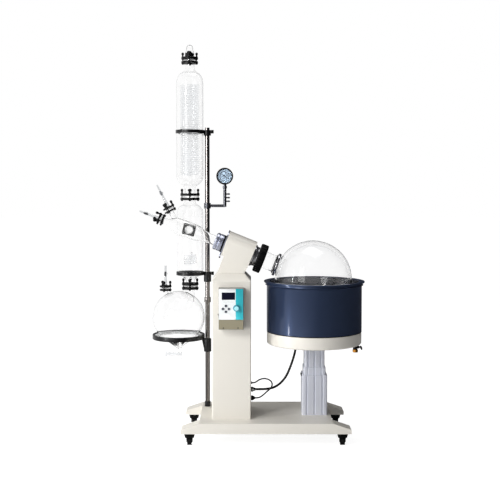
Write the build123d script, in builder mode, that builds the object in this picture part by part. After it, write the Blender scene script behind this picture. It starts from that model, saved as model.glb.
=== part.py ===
from build123d import *

import os
from math import atan2, cos, pi, radians, sin, sqrt, tan

# A rotary evaporator with a 50 litre flask, in millimetres.
# X runs to the right along the machine, Y away from the viewer, Z up, and the origin is on the
# floor under the middle of the machine. The flask's axis lies in the plane Y = 0, and the glass
# tower stands behind it on its rod.

# Clearances
seat_gap = 0.3
running_gap = 0.05
key_gap = 0.1

# Casters
wheel_diameter = 50
wheel_width = 26
wheel_bore = 8
wheel_trail = 14
cheek_thickness = 4
dome_diameter = 60
dome_height = 16
stem_diameter = 12
stem_length = 30
caster_inset = 48

# Base
beam_bottom = 79
beam_height = 61
deck_left = -310
deck_right = 474
base_depth = 570
leg_width = 100
leg_reach = 106
leg_tip_height = 26
sheet = 4

# Main column and its neck
column_left = -238
column_width = 232
column_front = -180
column_depth = 340
column_top = 960
neck_left = -211
neck_width = 169
neck_depth = 200
neck_top = 1000
column_wall = 3
column_corner = 8

# The flask's axis, tilted down to the right through the flask's centre
axis_tilt = 21.44
flask_x = 372
flask_z = 958
flask_radius = 234
flask_wall = 5
flask_neck_radius = 52
flask_lip_radius = 62
flask_lip_length = 13
glass_joint = 0.02

# Places along that axis, counted from the flask's centre
ring_from = -250
ring_length = 19
ring_radius = 70
clamp_from = -353
clamp_length = 32
clamp_radius = 88.5
clamp_ribs = 24
cap_length = 37
cap_radius = 67.5
head_right = -397
head_left = -576
head_plate_thickness = 7
head_top = 86
head_width = 200
head_round = 58
head_wall = 4
seal_length = 11
seal_radius = 48
collar_length = 48
collar_radius = 52.5

# Vapour shaft, its bearings and the gear drive
shaft_radius = 40
shaft_bore = 30
bearing_radius = 52
bearing_length = 22
bearing_boss = 60
gear_module = 3
gear_teeth = 42
pinion_teeth = 14
gear_from = -468
gear_width = 20
motor_radius = 32
motor_length = 66
motor_shaft_radius = 8

# Adapter, the glass body between the shaft and the tower
adapter_radius = 51
adapter_neck_radius = 30
adapter_end = -610
end_flange_at = -994
feed_port_at = -879
feed_angle = 62.5
feed_flange_at = 117
glass_wall = 4
key_radius = 5
barrel_radius = 10
barrel_half = 12

# Bath
bath_x = 378
bath_bottom = 632
bath_top = 947
bath_radius = 293.5
bath_wall = 3
rim_radius = 6
liner_radius = 272
liner_floor = 680
liner_wall = 2
base_ring_height = 64
base_ring_radius = 287
heater_radius = 245
heater_tube = 7
heater_height = 34
valve_x = 630
valve_z = 541
valve_radius = 11
stem_radius = 5
lever_at = 30

# Telescopic lift
lift_outer_width = 152
lift_middle_width = 134
lift_inner_width = 122
lift_outer_top = 382
lift_middle_top = 429
lift_middle_bottom = 190
lift_inner_bottom = 330
lift_wall = 5
lift_corner = 9
groove_width = 7
groove_depth = 3
screw_radius = 15
screw_tube_radius = 24

# Glass tower and its rod
tower_y = 160
rod_x = -278
rod_radius = 14.5
rod_top = 1885
rod_foot_radius = 22
rod_foot_height = 30
coupling_z = 812
tower_x = -386
condenser_radius = 83
condenser_bottom = 1550
condenser_top = 2190
condenser_shoulder = 50
vessel_radius = 81.5
vessel_bottom = 975
vessel_top = 1385
cap_height = 97
coil_tube = 6
tail_radius = 8
tail_bore = 5
tail_length = 40
tail_foot = 3

# Flange pairs: ring radius, ring thickness, bolt circle, lip and neck
top_joint_z = 2300
middle_joint_z = 1456
lower_joint_z = 898
square_joint_y = 66
lip_thickness = 3.8
ring_gap = 4
bolt_radius = 3.5
nut_height = 9
wing_rise = 24
big_ring, big_thick, big_circle, big_lip, big_neck = 60, 15, 50, 43, 34
mid_ring, mid_thick, mid_circle, mid_lip, mid_neck = 52, 14, 43, 37, 29
small_ring, small_thick, small_circle, small_lip, small_neck = 37, 10, 29, 23, 17
square_side = 78
square_thick = 6
square_circle = 44
square_lip = 33
square_neck = 26

# Receiving flask and its support
receiver_x = -459
receiver_z = 703
receiver_radius = 163
vent_x = -540
vent_joint_z = 885
drain_x = -451
drain_barrel_z = 472
support_z = 568
support_outer = 164
support_inner = 128
support_steel = 12
support_rubber = 22
arm_boss_low = 487

# Ring clamps on the rod
band_height = 20
band_thickness = 5
upper_band_z = 1860
lower_band_z = 978
boss_radius = 23
knob_radius = 11
knob_length = 22

# Vacuum gauge and manifold
gauge_x = -169
gauge_z = 1584
gauge_radius = 52.5
gauge_depth = 36
dial_face = 22
needle_gap = 1.5
manifold_radius = 10
manifold_bottom = 1393
manifold_arm_rise = 7
barb_heights = (1473, 1450.5, 1428)
barb_radius = 6
barb_length = 32

# Control box on the column's front
box_left = -196
box_width = 146
box_bottom = 685
box_height = 241
box_depth = 66
panel_thickness = 4
panel_bottom = 744
window_left = -177
window_width = 78
window_bottom = 860
window_height = 43
button_radius = 7
button_height = 3.5
button_travel = 1.5
button_x = -152.7
button_z = 807
button_pitch_x = 17.3
button_pitch_z = 17
dial_x = -91.4
dial_z = 811.5
dial_radius = 20
dial_height = 18
switch_z = 761
switch_y = -215

# Cables
thick_cable_diameter = 14
thin_cable_diameter = 8.5
thin_cable_y = -16
thick_plug_z = 282
thin_plug_z = 232
plug_length = 27
plug_radius = 15
gland_radius = 8
gland_depth = 14
cable_gland_x = 266
thin_gland_z = 325

# Derived places
deck_top = beam_bottom + beam_height
cap_top = top_joint_z + cap_height
manifold_arm_z = manifold_bottom + manifold_arm_rise
tilt = radians(axis_tilt)
column_right = column_left + column_width
column_middle_y = column_front + column_depth / 2
base_ring_bottom = bath_bottom - base_ring_height
box_back = column_front - seat_gap
box_front = box_back - box_depth
panel_front = box_front - panel_thickness
spin = Plane(
    origin=(flask_x, 0, flask_z), x_dir=(cos(tilt), 0, -sin(tilt)), z_dir=(0, -1, 0)
)


def lengthways(origin, direction):
    """A plane whose X axis runs along a direction, for outlines of (along, radius) points."""
    across = (0, 0, 1) if abs(Vector(direction).normalized().Y) > 0.9 else (0, -1, 0)
    return Plane(origin=origin, x_dir=direction, z_dir=across)


def turn(plane, outline, mode=Mode.ADD):
    """Revolves a closed outline of (along, radius) points about the plane's X axis."""
    with BuildSketch(plane) as profile:
        with BuildLine():
            Polyline(*outline, close=True)
        make_face()
    revolve(profile.sketch, axis=Axis(plane.origin, plane.x_dir), mode=mode)


def ring(plane, start, end, outer, inner=0, mode=Mode.ADD):
    """A plain ring, or a disc, from one place along the plane's X axis to another."""
    turn(plane, ((start, inner), (end, inner), (end, outer), (start, outer)), mode)


def inset(side, amount):
    """The line that runs inside an open side line of (along, radius) points."""
    lines = []
    for (a, b), (c, d) in zip(side, side[1:]):
        length = sqrt((c - a) ** 2 + (d - b) ** 2)
        shift = (amount * (d - b) / length, -amount * (c - a) / length)
        lines.append(((a + shift[0], b + shift[1]), (c + shift[0], d + shift[1])))
    inner = [lines[0][0]]
    for ((a, b), (c, d)), ((e, f), (g, h)) in zip(lines, lines[1:]):
        cross = (c - a) * (h - f) - (d - b) * (g - e)
        share = ((e - a) * (h - f) - (f - b) * (g - e)) / cross
        inner.append((a + share * (c - a), b + share * (d - b)))
    inner.append(lines[-1][1])
    return inner


def hollow(plane, side, wall, first, last):
    """Cuts the inside of a blown glass body, from its outer side line, out to both mouths."""
    bore = inset(side, wall)
    bore[0] = (first, bore[0][1])
    bore[-1] = (last, bore[-1][1])
    turn(plane, closed_down(bore), Mode.SUBTRACT)


def closed_down(side):
    """An open side line, closed along the axis."""
    return (*side, (side[-1][0], 0), (side[0][0], 0))


def finish(part, name):
    """Labels a finished piece and writes it."""
    part.part.label = name
    export_step(part.part, f"parts/{name}.step")
    facets = sum(len(s.tessellate(0.5, 0.3)[1]) for s in part.part.solids())
    print(f"{name}: {len(part.part.solids())} solids, {facets} facets")
    totals.append(facets)


totals = []
os.makedirs("parts", exist_ok=True)

# Base frame: two bent side beams with sloping legs, and the deck between them
with BuildPart() as base_frame:
    beam_y = base_depth / 2 - leg_width
    leg_left = deck_left - leg_reach
    leg_right = deck_right + leg_reach
    tip_top = beam_bottom + leg_tip_height
    for side in (-1, 1):
        front = -base_depth / 2 if side < 0 else beam_y
        with BuildSketch(Plane.XZ.offset(-front)):
            with BuildLine():
                FilletPolyline(
                    (leg_left, beam_bottom),
                    (leg_left, tip_top),
                    (deck_left, deck_top),
                    (deck_right, deck_top),
                    (leg_right, tip_top),
                    (leg_right, beam_bottom),
                    radius=[12, 30, 30, 12],
                )
                Line((leg_right, beam_bottom), (leg_left, beam_bottom))
            make_face()
        extrude(amount=-leg_width)
    with BuildSketch(Plane.XY.offset(beam_bottom)):
        with Locations(((deck_left + deck_right) / 2, 0)):
            Rectangle(deck_right - deck_left, 2 * beam_y)
    extrude(amount=beam_height)
    # The sheet is open underneath
    for front in (-base_depth / 2, beam_y):
        with BuildSketch(Plane.XZ.offset(-front - sheet)):
            Polygon(
                (leg_left + sheet, beam_bottom),
                (leg_left + sheet, tip_top - sheet - 4),
                (deck_left + sheet, deck_top - sheet),
                (deck_right - sheet, deck_top - sheet),
                (leg_right - sheet, tip_top - sheet - 4),
                (leg_right - sheet, beam_bottom),
                align=None,
            )
        extrude(amount=2 * sheet - leg_width, mode=Mode.SUBTRACT)
    with BuildSketch(Plane.XY.offset(beam_bottom)):
        with Locations(((deck_left + deck_right) / 2, 0)):
            Rectangle(deck_right - deck_left - 2 * sheet, 2 * beam_y)
    extrude(amount=beam_height - sheet, mode=Mode.SUBTRACT)
    # Sockets that take the casters' stems
    caster_spots = [
        (x, y * (base_depth - leg_width) / 2)
        for x in (leg_left + caster_inset, leg_right - caster_inset)
        for y in (-1, 1)
    ]
    socket_height = leg_tip_height + 6
    with BuildSketch(Plane.XY.offset(beam_bottom)):
        with Locations(*caster_spots):
            Circle(stem_diameter)
    extrude(amount=socket_height)
    with BuildSketch(Plane.XY.offset(beam_bottom)):
        with Locations(*caster_spots):
            Circle(stem_diameter / 2 + running_gap)
    extrude(amount=stem_length, mode=Mode.SUBTRACT)
finish(base_frame, "base_frame")

# Casters: a swivelling fork with its stem, and a wheel on the fork's axle
for index, (x, y) in enumerate(caster_spots):
    spot = ("front_left", "rear_left", "front_right", "rear_right")[index]
    upright = lengthways((x, y, 0), (0, 0, 1))
    axle_y = y + wheel_trail
    axle_z = wheel_diameter / 2
    crown = beam_bottom - seat_gap
    cheek_inner = wheel_width / 2 + 1
    cheek_outer = cheek_inner + cheek_thickness
    axle = lengthways((x, axle_y, axle_z), (1, 0, 0))
    with BuildPart() as caster_fork:
        turn(
            upright,
            (
                (crown - dome_height, 0),
                (crown - dome_height, cheek_outer),
                (crown - 4, dome_diameter / 2),
                (crown, dome_diameter / 2),
                (crown, 0),
            ),
        )
        ring(upright, crown, crown + stem_length - 2, stem_diameter / 2)
        for cheek_x in (x - cheek_outer, x + cheek_inner):
            with BuildSketch(Plane.YZ.offset(cheek_x)):
                with BuildLine():
                    Polyline(
                        (y - 20, crown - dome_height + 1),
                        (axle_y - 10, axle_z - 7),
                        (axle_y + 10, axle_z - 7),
                        (y + 26, crown - dome_height + 1),
                        close=True,
                    )
                make_face()
            extrude(amount=cheek_thickness)
        ring(axle, -cheek_outer, cheek_outer, wheel_bore / 2)
    finish(caster_fork, f"caster_fork_{spot}")
    with BuildPart() as caster_wheel:
        tread = wheel_diameter / 2
        turn(
            axle,
            (
                (-wheel_width / 2, wheel_bore / 2 + running_gap),
                (-wheel_width / 2, tread),
                (wheel_width / 2, tread),
                (wheel_width / 2, wheel_bore / 2 + running_gap),
            ),
        )
    finish(caster_wheel, f"caster_wheel_{spot}")

# Main column: a folded sheet box that narrows to a neck under the head
with BuildPart() as column:
    with BuildSketch(Plane.XY.offset(deck_top)):
        with Locations((column_left + column_width / 2, column_middle_y)):
            RectangleRounded(column_width, column_depth, column_corner)
    extrude(amount=column_top - deck_top)
    with BuildSketch(Plane.XY.offset(column_top)):
        with Locations((column_left + column_width / 2, column_middle_y)):
            RectangleRounded(column_width, column_depth, column_corner)
    with BuildSketch(Plane.XY.offset(neck_top)):
        with Locations((neck_left + neck_width / 2, 0)):
            RectangleRounded(neck_width, neck_depth, column_corner)
    loft()
    with BuildSketch(Plane.XY.offset(deck_top + column_wall)):
        with Locations((column_left + column_width / 2, column_middle_y)):
            Rectangle(column_width - 2 * column_wall, column_depth - 2 * column_wall)
    extrude(amount=column_top - deck_top - 2 * column_wall, mode=Mode.SUBTRACT)
    with BuildSketch(Plane.XY.offset(column_top - 2 * column_wall)):
        with Locations((neck_left + neck_width / 2, 0)):
            Rectangle(neck_width - 30, neck_depth - 30)
    extrude(amount=neck_top, mode=Mode.SUBTRACT)
finish(column, "column")

# Head housing: a tilted shell, open at its upper end, which the end plate closes
neck_corners = [
    spin.to_local_coords(Vector(x, 0, neck_top + seat_gap))
    for x in (neck_left + neck_width, neck_left)
]
head_outline = (
    (head_left, head_top),
    (head_right, head_top - 2),
    (head_right - 3, -73),
    (head_right - 8, -109),
    (neck_corners[0].X, neck_corners[0].Y),
    (neck_corners[1].X, neck_corners[1].Y),
    (head_left + 18, -62),
    (head_left, -62),
)


def head_block(outline, shrink):
    """The housing's outline made solid, with its two long top edges rounded."""
    with BuildPart() as block:
        with BuildSketch(spin):
            with BuildLine():
                Polyline(*outline, close=True)
            make_face()
            if shrink:
                offset(amount=-shrink, kind=Kind.INTERSECTION)
        extrude(amount=head_width / 2 - shrink, both=True)
        long_top = [
            edge
            for edge in block.edges()
            if abs((edge @ 1 - edge @ 0).normalized().dot(spin.x_dir)) > 0.99
            and spin.to_local_coords(edge.center()).Y > head_top - shrink - 4
        ]
        fillet(long_top, head_round - shrink)
    return block.part


open_outline = [
    (a - head_wall - 2, b) if a == head_left else (a, b) for a, b in head_outline
]
with BuildPart() as head_housing:
    add(head_block(head_outline, 0))
    add(head_block(open_outline, head_wall), mode=Mode.SUBTRACT)
    inner_face = head_right - head_wall
    ring(spin, inner_face - bearing_length - 2, inner_face + 1, bearing_boss)
    ring(spin, inner_face - bearing_length - 3, inner_face, bearing_radius + 0.02,
         mode=Mode.SUBTRACT)
    ring(spin, inner_face - 1, head_right + 1, shaft_radius + 2, mode=Mode.SUBTRACT)
finish(head_housing, "head_housing")

# End plate on the head's upper end, with the boss of the rear bearing
plate_left = head_left - head_plate_thickness
with BuildPart() as head_end_plate:
    plate_plane = Plane(
        origin=spin.from_local_coords((head_left - seat_gap / 3, 0, 0)),
        x_dir=(0, 1, 0),
        z_dir=-spin.x_dir,
    )
    up = 1 if plate_plane.y_dir.Z > 0 else -1
    with BuildSketch(plate_plane):
        with BuildLine():
            FilletPolyline(
                (-head_width / 2, -up * 65),
                (-head_width / 2, up * (head_top + 2)),
                (head_width / 2, up * (head_top + 2)),
                (head_width / 2, -up * 65),
                radius=[head_round, head_round],
            )
            Line((head_width / 2, -up * 65), (-head_width / 2, -up * 65))
        make_face()
    extrude(amount=head_plate_thickness - seat_gap / 3)
    ring(spin, head_left - 1, head_left + bearing_length + 6, bearing_radius + 5)
    ring(spin, head_left + 4, head_left + bearing_length + 7, bearing_radius + 0.02,
         mode=Mode.SUBTRACT)
    ring(spin, plate_left - 1, head_left + 5, shaft_radius + 2, mode=Mode.SUBTRACT)
finish(head_end_plate, "head_end_plate")

# Bearings, pressed into the bosses, with the shaft running in them
front_bearing = inner_face - bearing_length - seat_gap
rear_bearing = head_left + 4 + seat_gap
with BuildPart() as head_bearings:
    for start in (front_bearing, rear_bearing):
        turn(
            spin,
            (
                (start, shaft_radius + running_gap),
                (start, bearing_radius - 10),
                (start + 1.5, bearing_radius - 10),
                (start + 1.5, bearing_radius - 5),
                (start, bearing_radius - 5),
                (start, bearing_radius),
                (start + bearing_length, bearing_radius),
                (start + bearing_length, shaft_radius + running_gap),
            ),
        )
finish(head_bearings, "head_bearings")

# Chrome cap over the front bearing, and the collar that seals the adapter's neck
with BuildPart() as bearing_cap:
    cap_bore = shaft_radius + 0.5
    turn(
        spin,
        (
            (head_right + 0.1, cap_bore),
            (head_right + 0.1, cap_radius),
            (head_right + 9, cap_radius),
            (head_right + 12, cap_radius - 6),
            (head_right + cap_length - 10, cap_radius - 8),
            (head_right + cap_length - 5, cap_radius - 2),
            (head_right + cap_length, cap_radius - 2),
            (head_right + cap_length, cap_bore),
        ),
    )
finish(bearing_cap, "bearing_cap")

collar_right = plate_left - seal_length
collar_left = collar_right - collar_length
shaft_left = adapter_end + 12
with BuildPart() as vapour_collar:
    turn(
        spin,
        (
            (collar_left, adapter_neck_radius + 0.5),
            (collar_left, collar_radius - 6),
            (collar_left + 6, collar_radius),
            (collar_left + 20, collar_radius),
            (collar_left + 23, collar_radius - 3),
            (collar_left + 26, collar_radius),
            (collar_right, collar_radius),
            (collar_right, seal_radius),
            (plate_left - 0.1, seal_radius),
            (plate_left - 0.1, shaft_radius + 0.5),
            (shaft_left - 2, shaft_radius + 0.5),
            (shaft_left - 2, adapter_neck_radius + 0.5),
        ),
    )
finish(vapour_collar, "vapour_collar")


def gear_outline(teeth, phase):
    """Points round a spur gear, with a tooth centred on the phase angle."""
    pitch_radius = gear_module * teeth / 2
    points = []
    for tooth in range(teeth):
        middle = phase + 2 * pi * tooth / teeth
        half = pi / teeth / 2
        for angle, radius in (
            (-1.3 * half, pitch_radius - 1.25 * gear_module),
            (-0.5 * half, pitch_radius + 0.9 * gear_module),
            (0.5 * half, pitch_radius + 0.9 * gear_module),
            (1.3 * half, pitch_radius - 1.25 * gear_module),
        ):
            points.append(
                (radius * cos(middle + angle), radius * sin(middle + angle))
            )
    return points


# Vapour shaft with its driven gear, and the motor's pinion under it
centre_distance = gear_module * (gear_teeth + pinion_teeth) / 2
gear_plane = Plane(
    origin=spin.from_local_coords((gear_from, 0, 0)), x_dir=(0, 1, 0), z_dir=spin.x_dir
)
motor_plane = Plane(
    origin=spin.from_local_coords((gear_from, -centre_distance, 0)),
    x_dir=(0, 1, 0),
    z_dir=spin.x_dir,
)
motor_axis = Plane(
    origin=spin.from_local_coords((0, -centre_distance, 0)),
    x_dir=spin.x_dir,
    z_dir=spin.z_dir,
)
toward_motor = atan2(
    *reversed(tuple(gear_plane.to_local_coords(motor_plane.origin))[:2])
)
with BuildPart() as vapour_shaft:
    turn(
        spin,
        (
            (shaft_left, shaft_bore),
            (shaft_left, shaft_radius),
            (clamp_from - 5, shaft_radius),
            (clamp_from - 5, flask_lip_radius),
            (clamp_from, flask_lip_radius),
            (clamp_from, shaft_bore),
        ),
    )
    # The driven gear is a ring of its own, pressed on the shaft
    gap_phase = toward_motor + pi / gear_teeth
    with BuildSketch(gear_plane):
        Polygon(*gear_outline(gear_teeth, gap_phase), align=None)
        Circle(shaft_radius + 0.02, mode=Mode.SUBTRACT)
    extrude(amount=gear_width)
finish(vapour_shaft, "vapour_shaft")

with BuildPart() as motor_pinion:
    with BuildSketch(motor_plane):
        Polygon(*gear_outline(pinion_teeth, toward_motor + pi), align=None)
    extrude(amount=gear_width)
    ring(motor_axis, gear_from - motor_length / 2, gear_from + gear_width + 4,
         motor_shaft_radius)
finish(motor_pinion, "motor_pinion")

with BuildPart() as drive_motor:
    motor_right = gear_from - 5
    motor_left = motor_right - 6 - motor_length
    ring(motor_axis, motor_left, motor_right - 6, motor_radius)
    bracket_plane = Plane(
        origin=spin.from_local_coords((motor_right, -centre_distance, 0)),
        x_dir=(0, 1, 0),
        z_dir=-spin.x_dir,
    )
    with BuildSketch(bracket_plane):
        Rectangle(head_width - 2 * head_wall - 0.2, 2 * motor_radius)
    extrude(amount=6)
    ring(motor_axis, gear_from - motor_length / 2 - 2, motor_right + 1,
         motor_shaft_radius + running_gap, mode=Mode.SUBTRACT)
finish(drive_motor, "drive_motor")

# Flask: a blown sphere with a straight neck and a lip that the clamp ring grips
flask_mouth = clamp_from + seat_gap
lip_end = flask_mouth + flask_lip_length
with BuildPart() as evaporating_flask:
    with Locations((flask_x, 0, flask_z)):
        Sphere(flask_radius)
    ring(spin, flask_mouth, -flask_radius / 2, flask_neck_radius)
    ring(spin, flask_mouth, lip_end, flask_lip_radius)
    with Locations((flask_x, 0, flask_z)):
        Sphere(flask_radius - flask_wall, mode=Mode.SUBTRACT)
    ring(spin, flask_mouth - 1, -flask_radius / 2, flask_neck_radius - flask_wall,
         mode=Mode.SUBTRACT)
    # The neck is a tube of its own that stands on the ball
    ball_end = -sqrt(flask_radius**2 - flask_neck_radius**2)
    ring(spin, ball_end - glass_joint, ball_end, flask_lip_radius, mode=Mode.SUBTRACT)
finish(evaporating_flask, "evaporating_flask")

with BuildPart() as flask_ring:
    ring_bore = flask_neck_radius + seat_gap
    turn(
        spin,
        (
            (ring_from, ring_bore),
            (ring_from, ring_radius - 7),
            (ring_from + 4, ring_radius),
            (ring_from + ring_length - 3, ring_radius),
            (ring_from + ring_length, ring_radius - 3),
            (ring_from + ring_length, ring_bore),
        ),
    )
finish(flask_ring, "flask_ring")

with BuildPart() as clamp_ring:
    turn(
        spin,
        (
            (clamp_from, flask_lip_radius + 1),
            (clamp_from, clamp_radius - 3),
            (clamp_from + 3, clamp_radius),
            (clamp_from + clamp_length - 3, clamp_radius),
            (clamp_from + clamp_length, clamp_radius - 3),
            (clamp_from + clamp_length, flask_neck_radius + 1),
            (lip_end + seat_gap, flask_neck_radius + 1),
            (lip_end + seat_gap, flask_lip_radius + 1),
        ),
    )
    rib_plane = Plane(
        origin=spin.from_local_coords((clamp_from - 1, 0, 0)),
        x_dir=(0, 1, 0),
        z_dir=spin.x_dir,
    )
    with BuildSketch(rib_plane):
        with PolarLocations(clamp_radius, clamp_ribs):
            Rectangle(7, 8)
    extrude(amount=clamp_length + 2, mode=Mode.SUBTRACT)
finish(clamp_ring, "clamp_ring")

# Bath: painted outer pot with a rolled rim, stainless liner, heater and base ring
bath = lengthways((bath_x, 0, 0), (0, 0, 1))
with BuildPart() as bath_pot:
    turn(
        bath,
        (
            (bath_bottom, 0),
            (bath_bottom, bath_radius),
            (bath_top - 12, bath_radius),
            (bath_top - 9, bath_radius + 2 * rim_radius),
            (bath_top - 3, bath_radius + 2 * rim_radius),
            (bath_top, bath_radius + rim_radius),
            (bath_top, bath_radius - bath_wall),
            (bath_bottom + bath_wall, bath_radius - bath_wall),
            (bath_bottom + bath_wall, 0),
        ),
    )
finish(bath_pot, "bath_pot")

liner_lip = bath_radius - bath_wall - seat_gap
with BuildPart() as bath_liner:
    turn(
        bath,
        (
            (liner_floor, 0),
            (liner_floor, liner_radius),
            (bath_top - 4, liner_radius),
            (bath_top - 4, liner_lip),
            (bath_top - 4 + liner_wall, liner_lip),
            (bath_top - 4 + liner_wall, liner_radius - liner_wall),
            (liner_floor + liner_wall, liner_radius - liner_wall),
            (liner_floor + liner_wall, 0),
        ),
    )
finish(bath_liner, "bath_liner")

liner_inside = liner_floor + liner_wall
with BuildPart() as bath_heater:
    heater_z = liner_inside + heater_height
    heater_plane = lengthways((bath_x, 0, heater_z), (0, 0, 1))
    with BuildSketch(heater_plane):
        with Locations((0, heater_radius)):
            RegularPolygon(heater_tube, 6)
    revolve(axis=Axis(heater_plane.origin, heater_plane.x_dir))
    with BuildSketch(Plane.XY.offset(liner_inside + 0.1)):
        with Locations((bath_x, 0)):
            with PolarLocations(heater_radius, 4, start_angle=45):
                Rectangle(8, 8)
    extrude(amount=heater_height - 3)
finish(bath_heater, "bath_heater")

with BuildPart() as bath_base:
    turn(
        bath,
        (
            (base_ring_bottom, 0),
            (base_ring_bottom, base_ring_radius - 6),
            (base_ring_bottom + 6, base_ring_radius),
            (bath_bottom - 0.1, base_ring_radius),
            (bath_bottom - 0.1, base_ring_radius - sheet),
            (base_ring_bottom + sheet, base_ring_radius - sheet),
            (base_ring_bottom + sheet, 0),
        ),
    )
    cable_gland = lengthways((cable_gland_x, 0, base_ring_bottom), (0, 0, -1))
    ring(cable_gland, -1, gland_depth, gland_radius + 3)
finish(bath_base, "bath_base")

# Drain valve under the base ring, with a lever that turns on the valve's side stem
valve_plane = lengthways((valve_x, 0, 0), (0, 0, 1))
valve_stem = lengthways((valve_x, 0, valve_z), (1, 0, 0))
with BuildPart() as bath_valve:
    ring(valve_plane, valve_z - 32, base_ring_bottom - 0.1, valve_radius - 3)
    ring(valve_plane, valve_z - 13, valve_z + 13, valve_radius + 2)
    ring(valve_stem, 0, lever_at - 6, 9)
    ring(valve_plane, valve_z - 33, base_ring_bottom, valve_radius - 6, mode=Mode.SUBTRACT)
    ring(valve_stem, 4, lever_at, stem_radius + running_gap, mode=Mode.SUBTRACT)
finish(bath_valve, "bath_valve")
with BuildPart() as drain_lever:
    ring(valve_stem, 9, lever_at + 6, stem_radius)
    with BuildSketch(Plane.YZ.offset(valve_x + lever_at)):
        with Locations((-26, valve_z)):
            SlotOverall(72, 16)
    extrude(amount=6)
finish(drain_lever, "drain_lever")


def lift_section(width, wall, grooved):
    """One aluminium extrusion of the lift in plan: a grooved square tube."""
    inner = width - 2 * wall
    with BuildSketch() as section:
        with Locations((bath_x, 0)):
            RectangleRounded(width, width, lift_corner)
            if grooved:
                for turned in (0, 90, 180, 270):
                    with PolarLocations(width / 2, 1, start_angle=turned):
                        with GridLocations(1, width / 5, 1, 4):
                            Rectangle(2 * groove_depth, groove_width, mode=Mode.SUBTRACT)
            Rectangle(inner, inner, mode=Mode.SUBTRACT)
    return section.sketch


# Telescopic lift: three extrusions, each inside the next, round a screw in its tube
outer_wall = (lift_outer_width - lift_middle_width) / 2 - seat_gap
middle_wall = (lift_middle_width - lift_inner_width) / 2 - seat_gap
screw = lengthways((bath_x, 0, 0), (0, 0, 1))
screw_tube_top = lift_inner_bottom + 16
with BuildPart() as lift_outer:
    extrude(lift_section(lift_outer_width, outer_wall, True).moved(Location((0, 0, deck_top))),
            amount=lift_outer_top - deck_top)
    ring(screw, deck_top, screw_tube_top, screw_tube_radius)
    ring(screw, deck_top + 2, screw_tube_top + 1, screw_radius + running_gap,
         mode=Mode.SUBTRACT)
finish(lift_outer, "lift_outer")
with BuildPart() as lift_middle:
    extrude(
        lift_section(lift_middle_width, middle_wall, True).moved(
            Location((0, 0, lift_middle_bottom))
        ),
        amount=lift_middle_top - lift_middle_bottom,
    )
finish(lift_middle, "lift_middle")
with BuildPart() as lift_inner:
    inner_top = base_ring_bottom - 0.1
    extrude(
        lift_section(lift_inner_width, lift_wall, True).moved(
            Location((0, 0, lift_inner_bottom))
        ),
        amount=inner_top - lift_inner_bottom,
    )
    with BuildSketch(Plane.XY.offset(inner_top - 8)):
        with Locations((bath_x, 0)):
            Rectangle(lift_inner_width - 2 * lift_wall, lift_inner_width - 2 * lift_wall)
    extrude(amount=8)
    ring(screw, lift_inner_bottom - 3, inner_top - 8, screw_radius)
finish(lift_inner, "lift_inner")

# Support rod with its foot and a coupling sleeve
rod = lengthways((rod_x, tower_y, 0), (0, 0, 1))
with BuildPart() as support_rod:
    ring(rod, deck_top + 0.1, rod_top, rod_radius)
    ring(rod, deck_top + 0.1, deck_top + rod_foot_height, rod_foot_radius)
    ring(rod, coupling_z - 15, coupling_z + 15, rod_radius + 6)
finish(support_rod, "support_rod")

# Ring clamps that hold the tower to the rod, each with a knob on a screw
rod_bore = rod_radius + seat_gap
bands = (
    (upper_band_z, condenser_radius, upper_band_z - 24),
    (lower_band_z, vessel_radius, lower_band_z - 52),
)
with BuildPart() as ring_clamps:
    for band_z, held_radius, boss_low in bands:
        tower = lengthways((tower_x, tower_y, 0), (0, 0, 1))
        low, high = band_z - band_height / 2, band_z + band_height / 2
        band_outer = held_radius + seat_gap + band_thickness
        ring(tower, low, high, band_outer)
        ring(rod, boss_low, high, boss_radius)
        with BuildSketch(Plane.XY.offset(low)):
            with Locations(((tower_x + rod_x) / 2 + 20, tower_y)):
                Rectangle(rod_x - tower_x - 40, 26)
        extrude(amount=band_height)
        ring(tower, low - 1, high + 1, held_radius + seat_gap, mode=Mode.SUBTRACT)
        ring(rod, boss_low - 1, high + 1, rod_bore, mode=Mode.SUBTRACT)
        screw_hole = lengthways((rod_x, tower_y, band_z), (1, 0, 0))
        ring(screw_hole, rod_radius, boss_radius + 1, 4 + running_gap, mode=Mode.SUBTRACT)
finish(ring_clamps, "ring_clamps")
for band_z, name in ((upper_band_z, "upper_clamp_knob"), (lower_band_z, "lower_clamp_knob")):
    knob_axis = lengthways((rod_x, tower_y, band_z), (1, 0, 0))
    with BuildPart() as clamp_knob:
        knob_from = boss_radius + 1
        ring(knob_axis, rod_bore + 1, knob_from + 1, 4)
        with BuildSketch(Plane(origin=knob_axis.origin + Vector(knob_from, 0, 0),
                               x_dir=(0, 1, 0), z_dir=(1, 0, 0))):
            Circle(knob_radius)
            with PolarLocations(knob_radius + 1.5, 5):
                Circle(4, mode=Mode.SUBTRACT)
        extrude(amount=knob_length - 6)
    finish(clamp_knob, name)

# Glass tower: the condenser with its cap, the coils, and the lower vessel
tower = lengthways((tower_x, tower_y, 0), (0, 0, 1))
condenser_tails = (condenser_bottom + 40, condenser_top - 40)
vessel_tails = (vessel_bottom + 60, vessel_bottom + 120)


def hose_tail(tail_z, body_radius):
    """A hose tail at the back of a glass body, where cooling water enters or leaves."""
    tail = lengthways((tower_x, tower_y, tail_z), (0, 1, 0))
    ring(tail, body_radius - 2, body_radius + tail_length, tail_radius)
    ring(tail, body_radius - 2, body_radius + tail_foot, tail_radius + 4)
    ring(tail, body_radius - 8, body_radius + tail_length + 1, tail_bore, mode=Mode.SUBTRACT)


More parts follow.
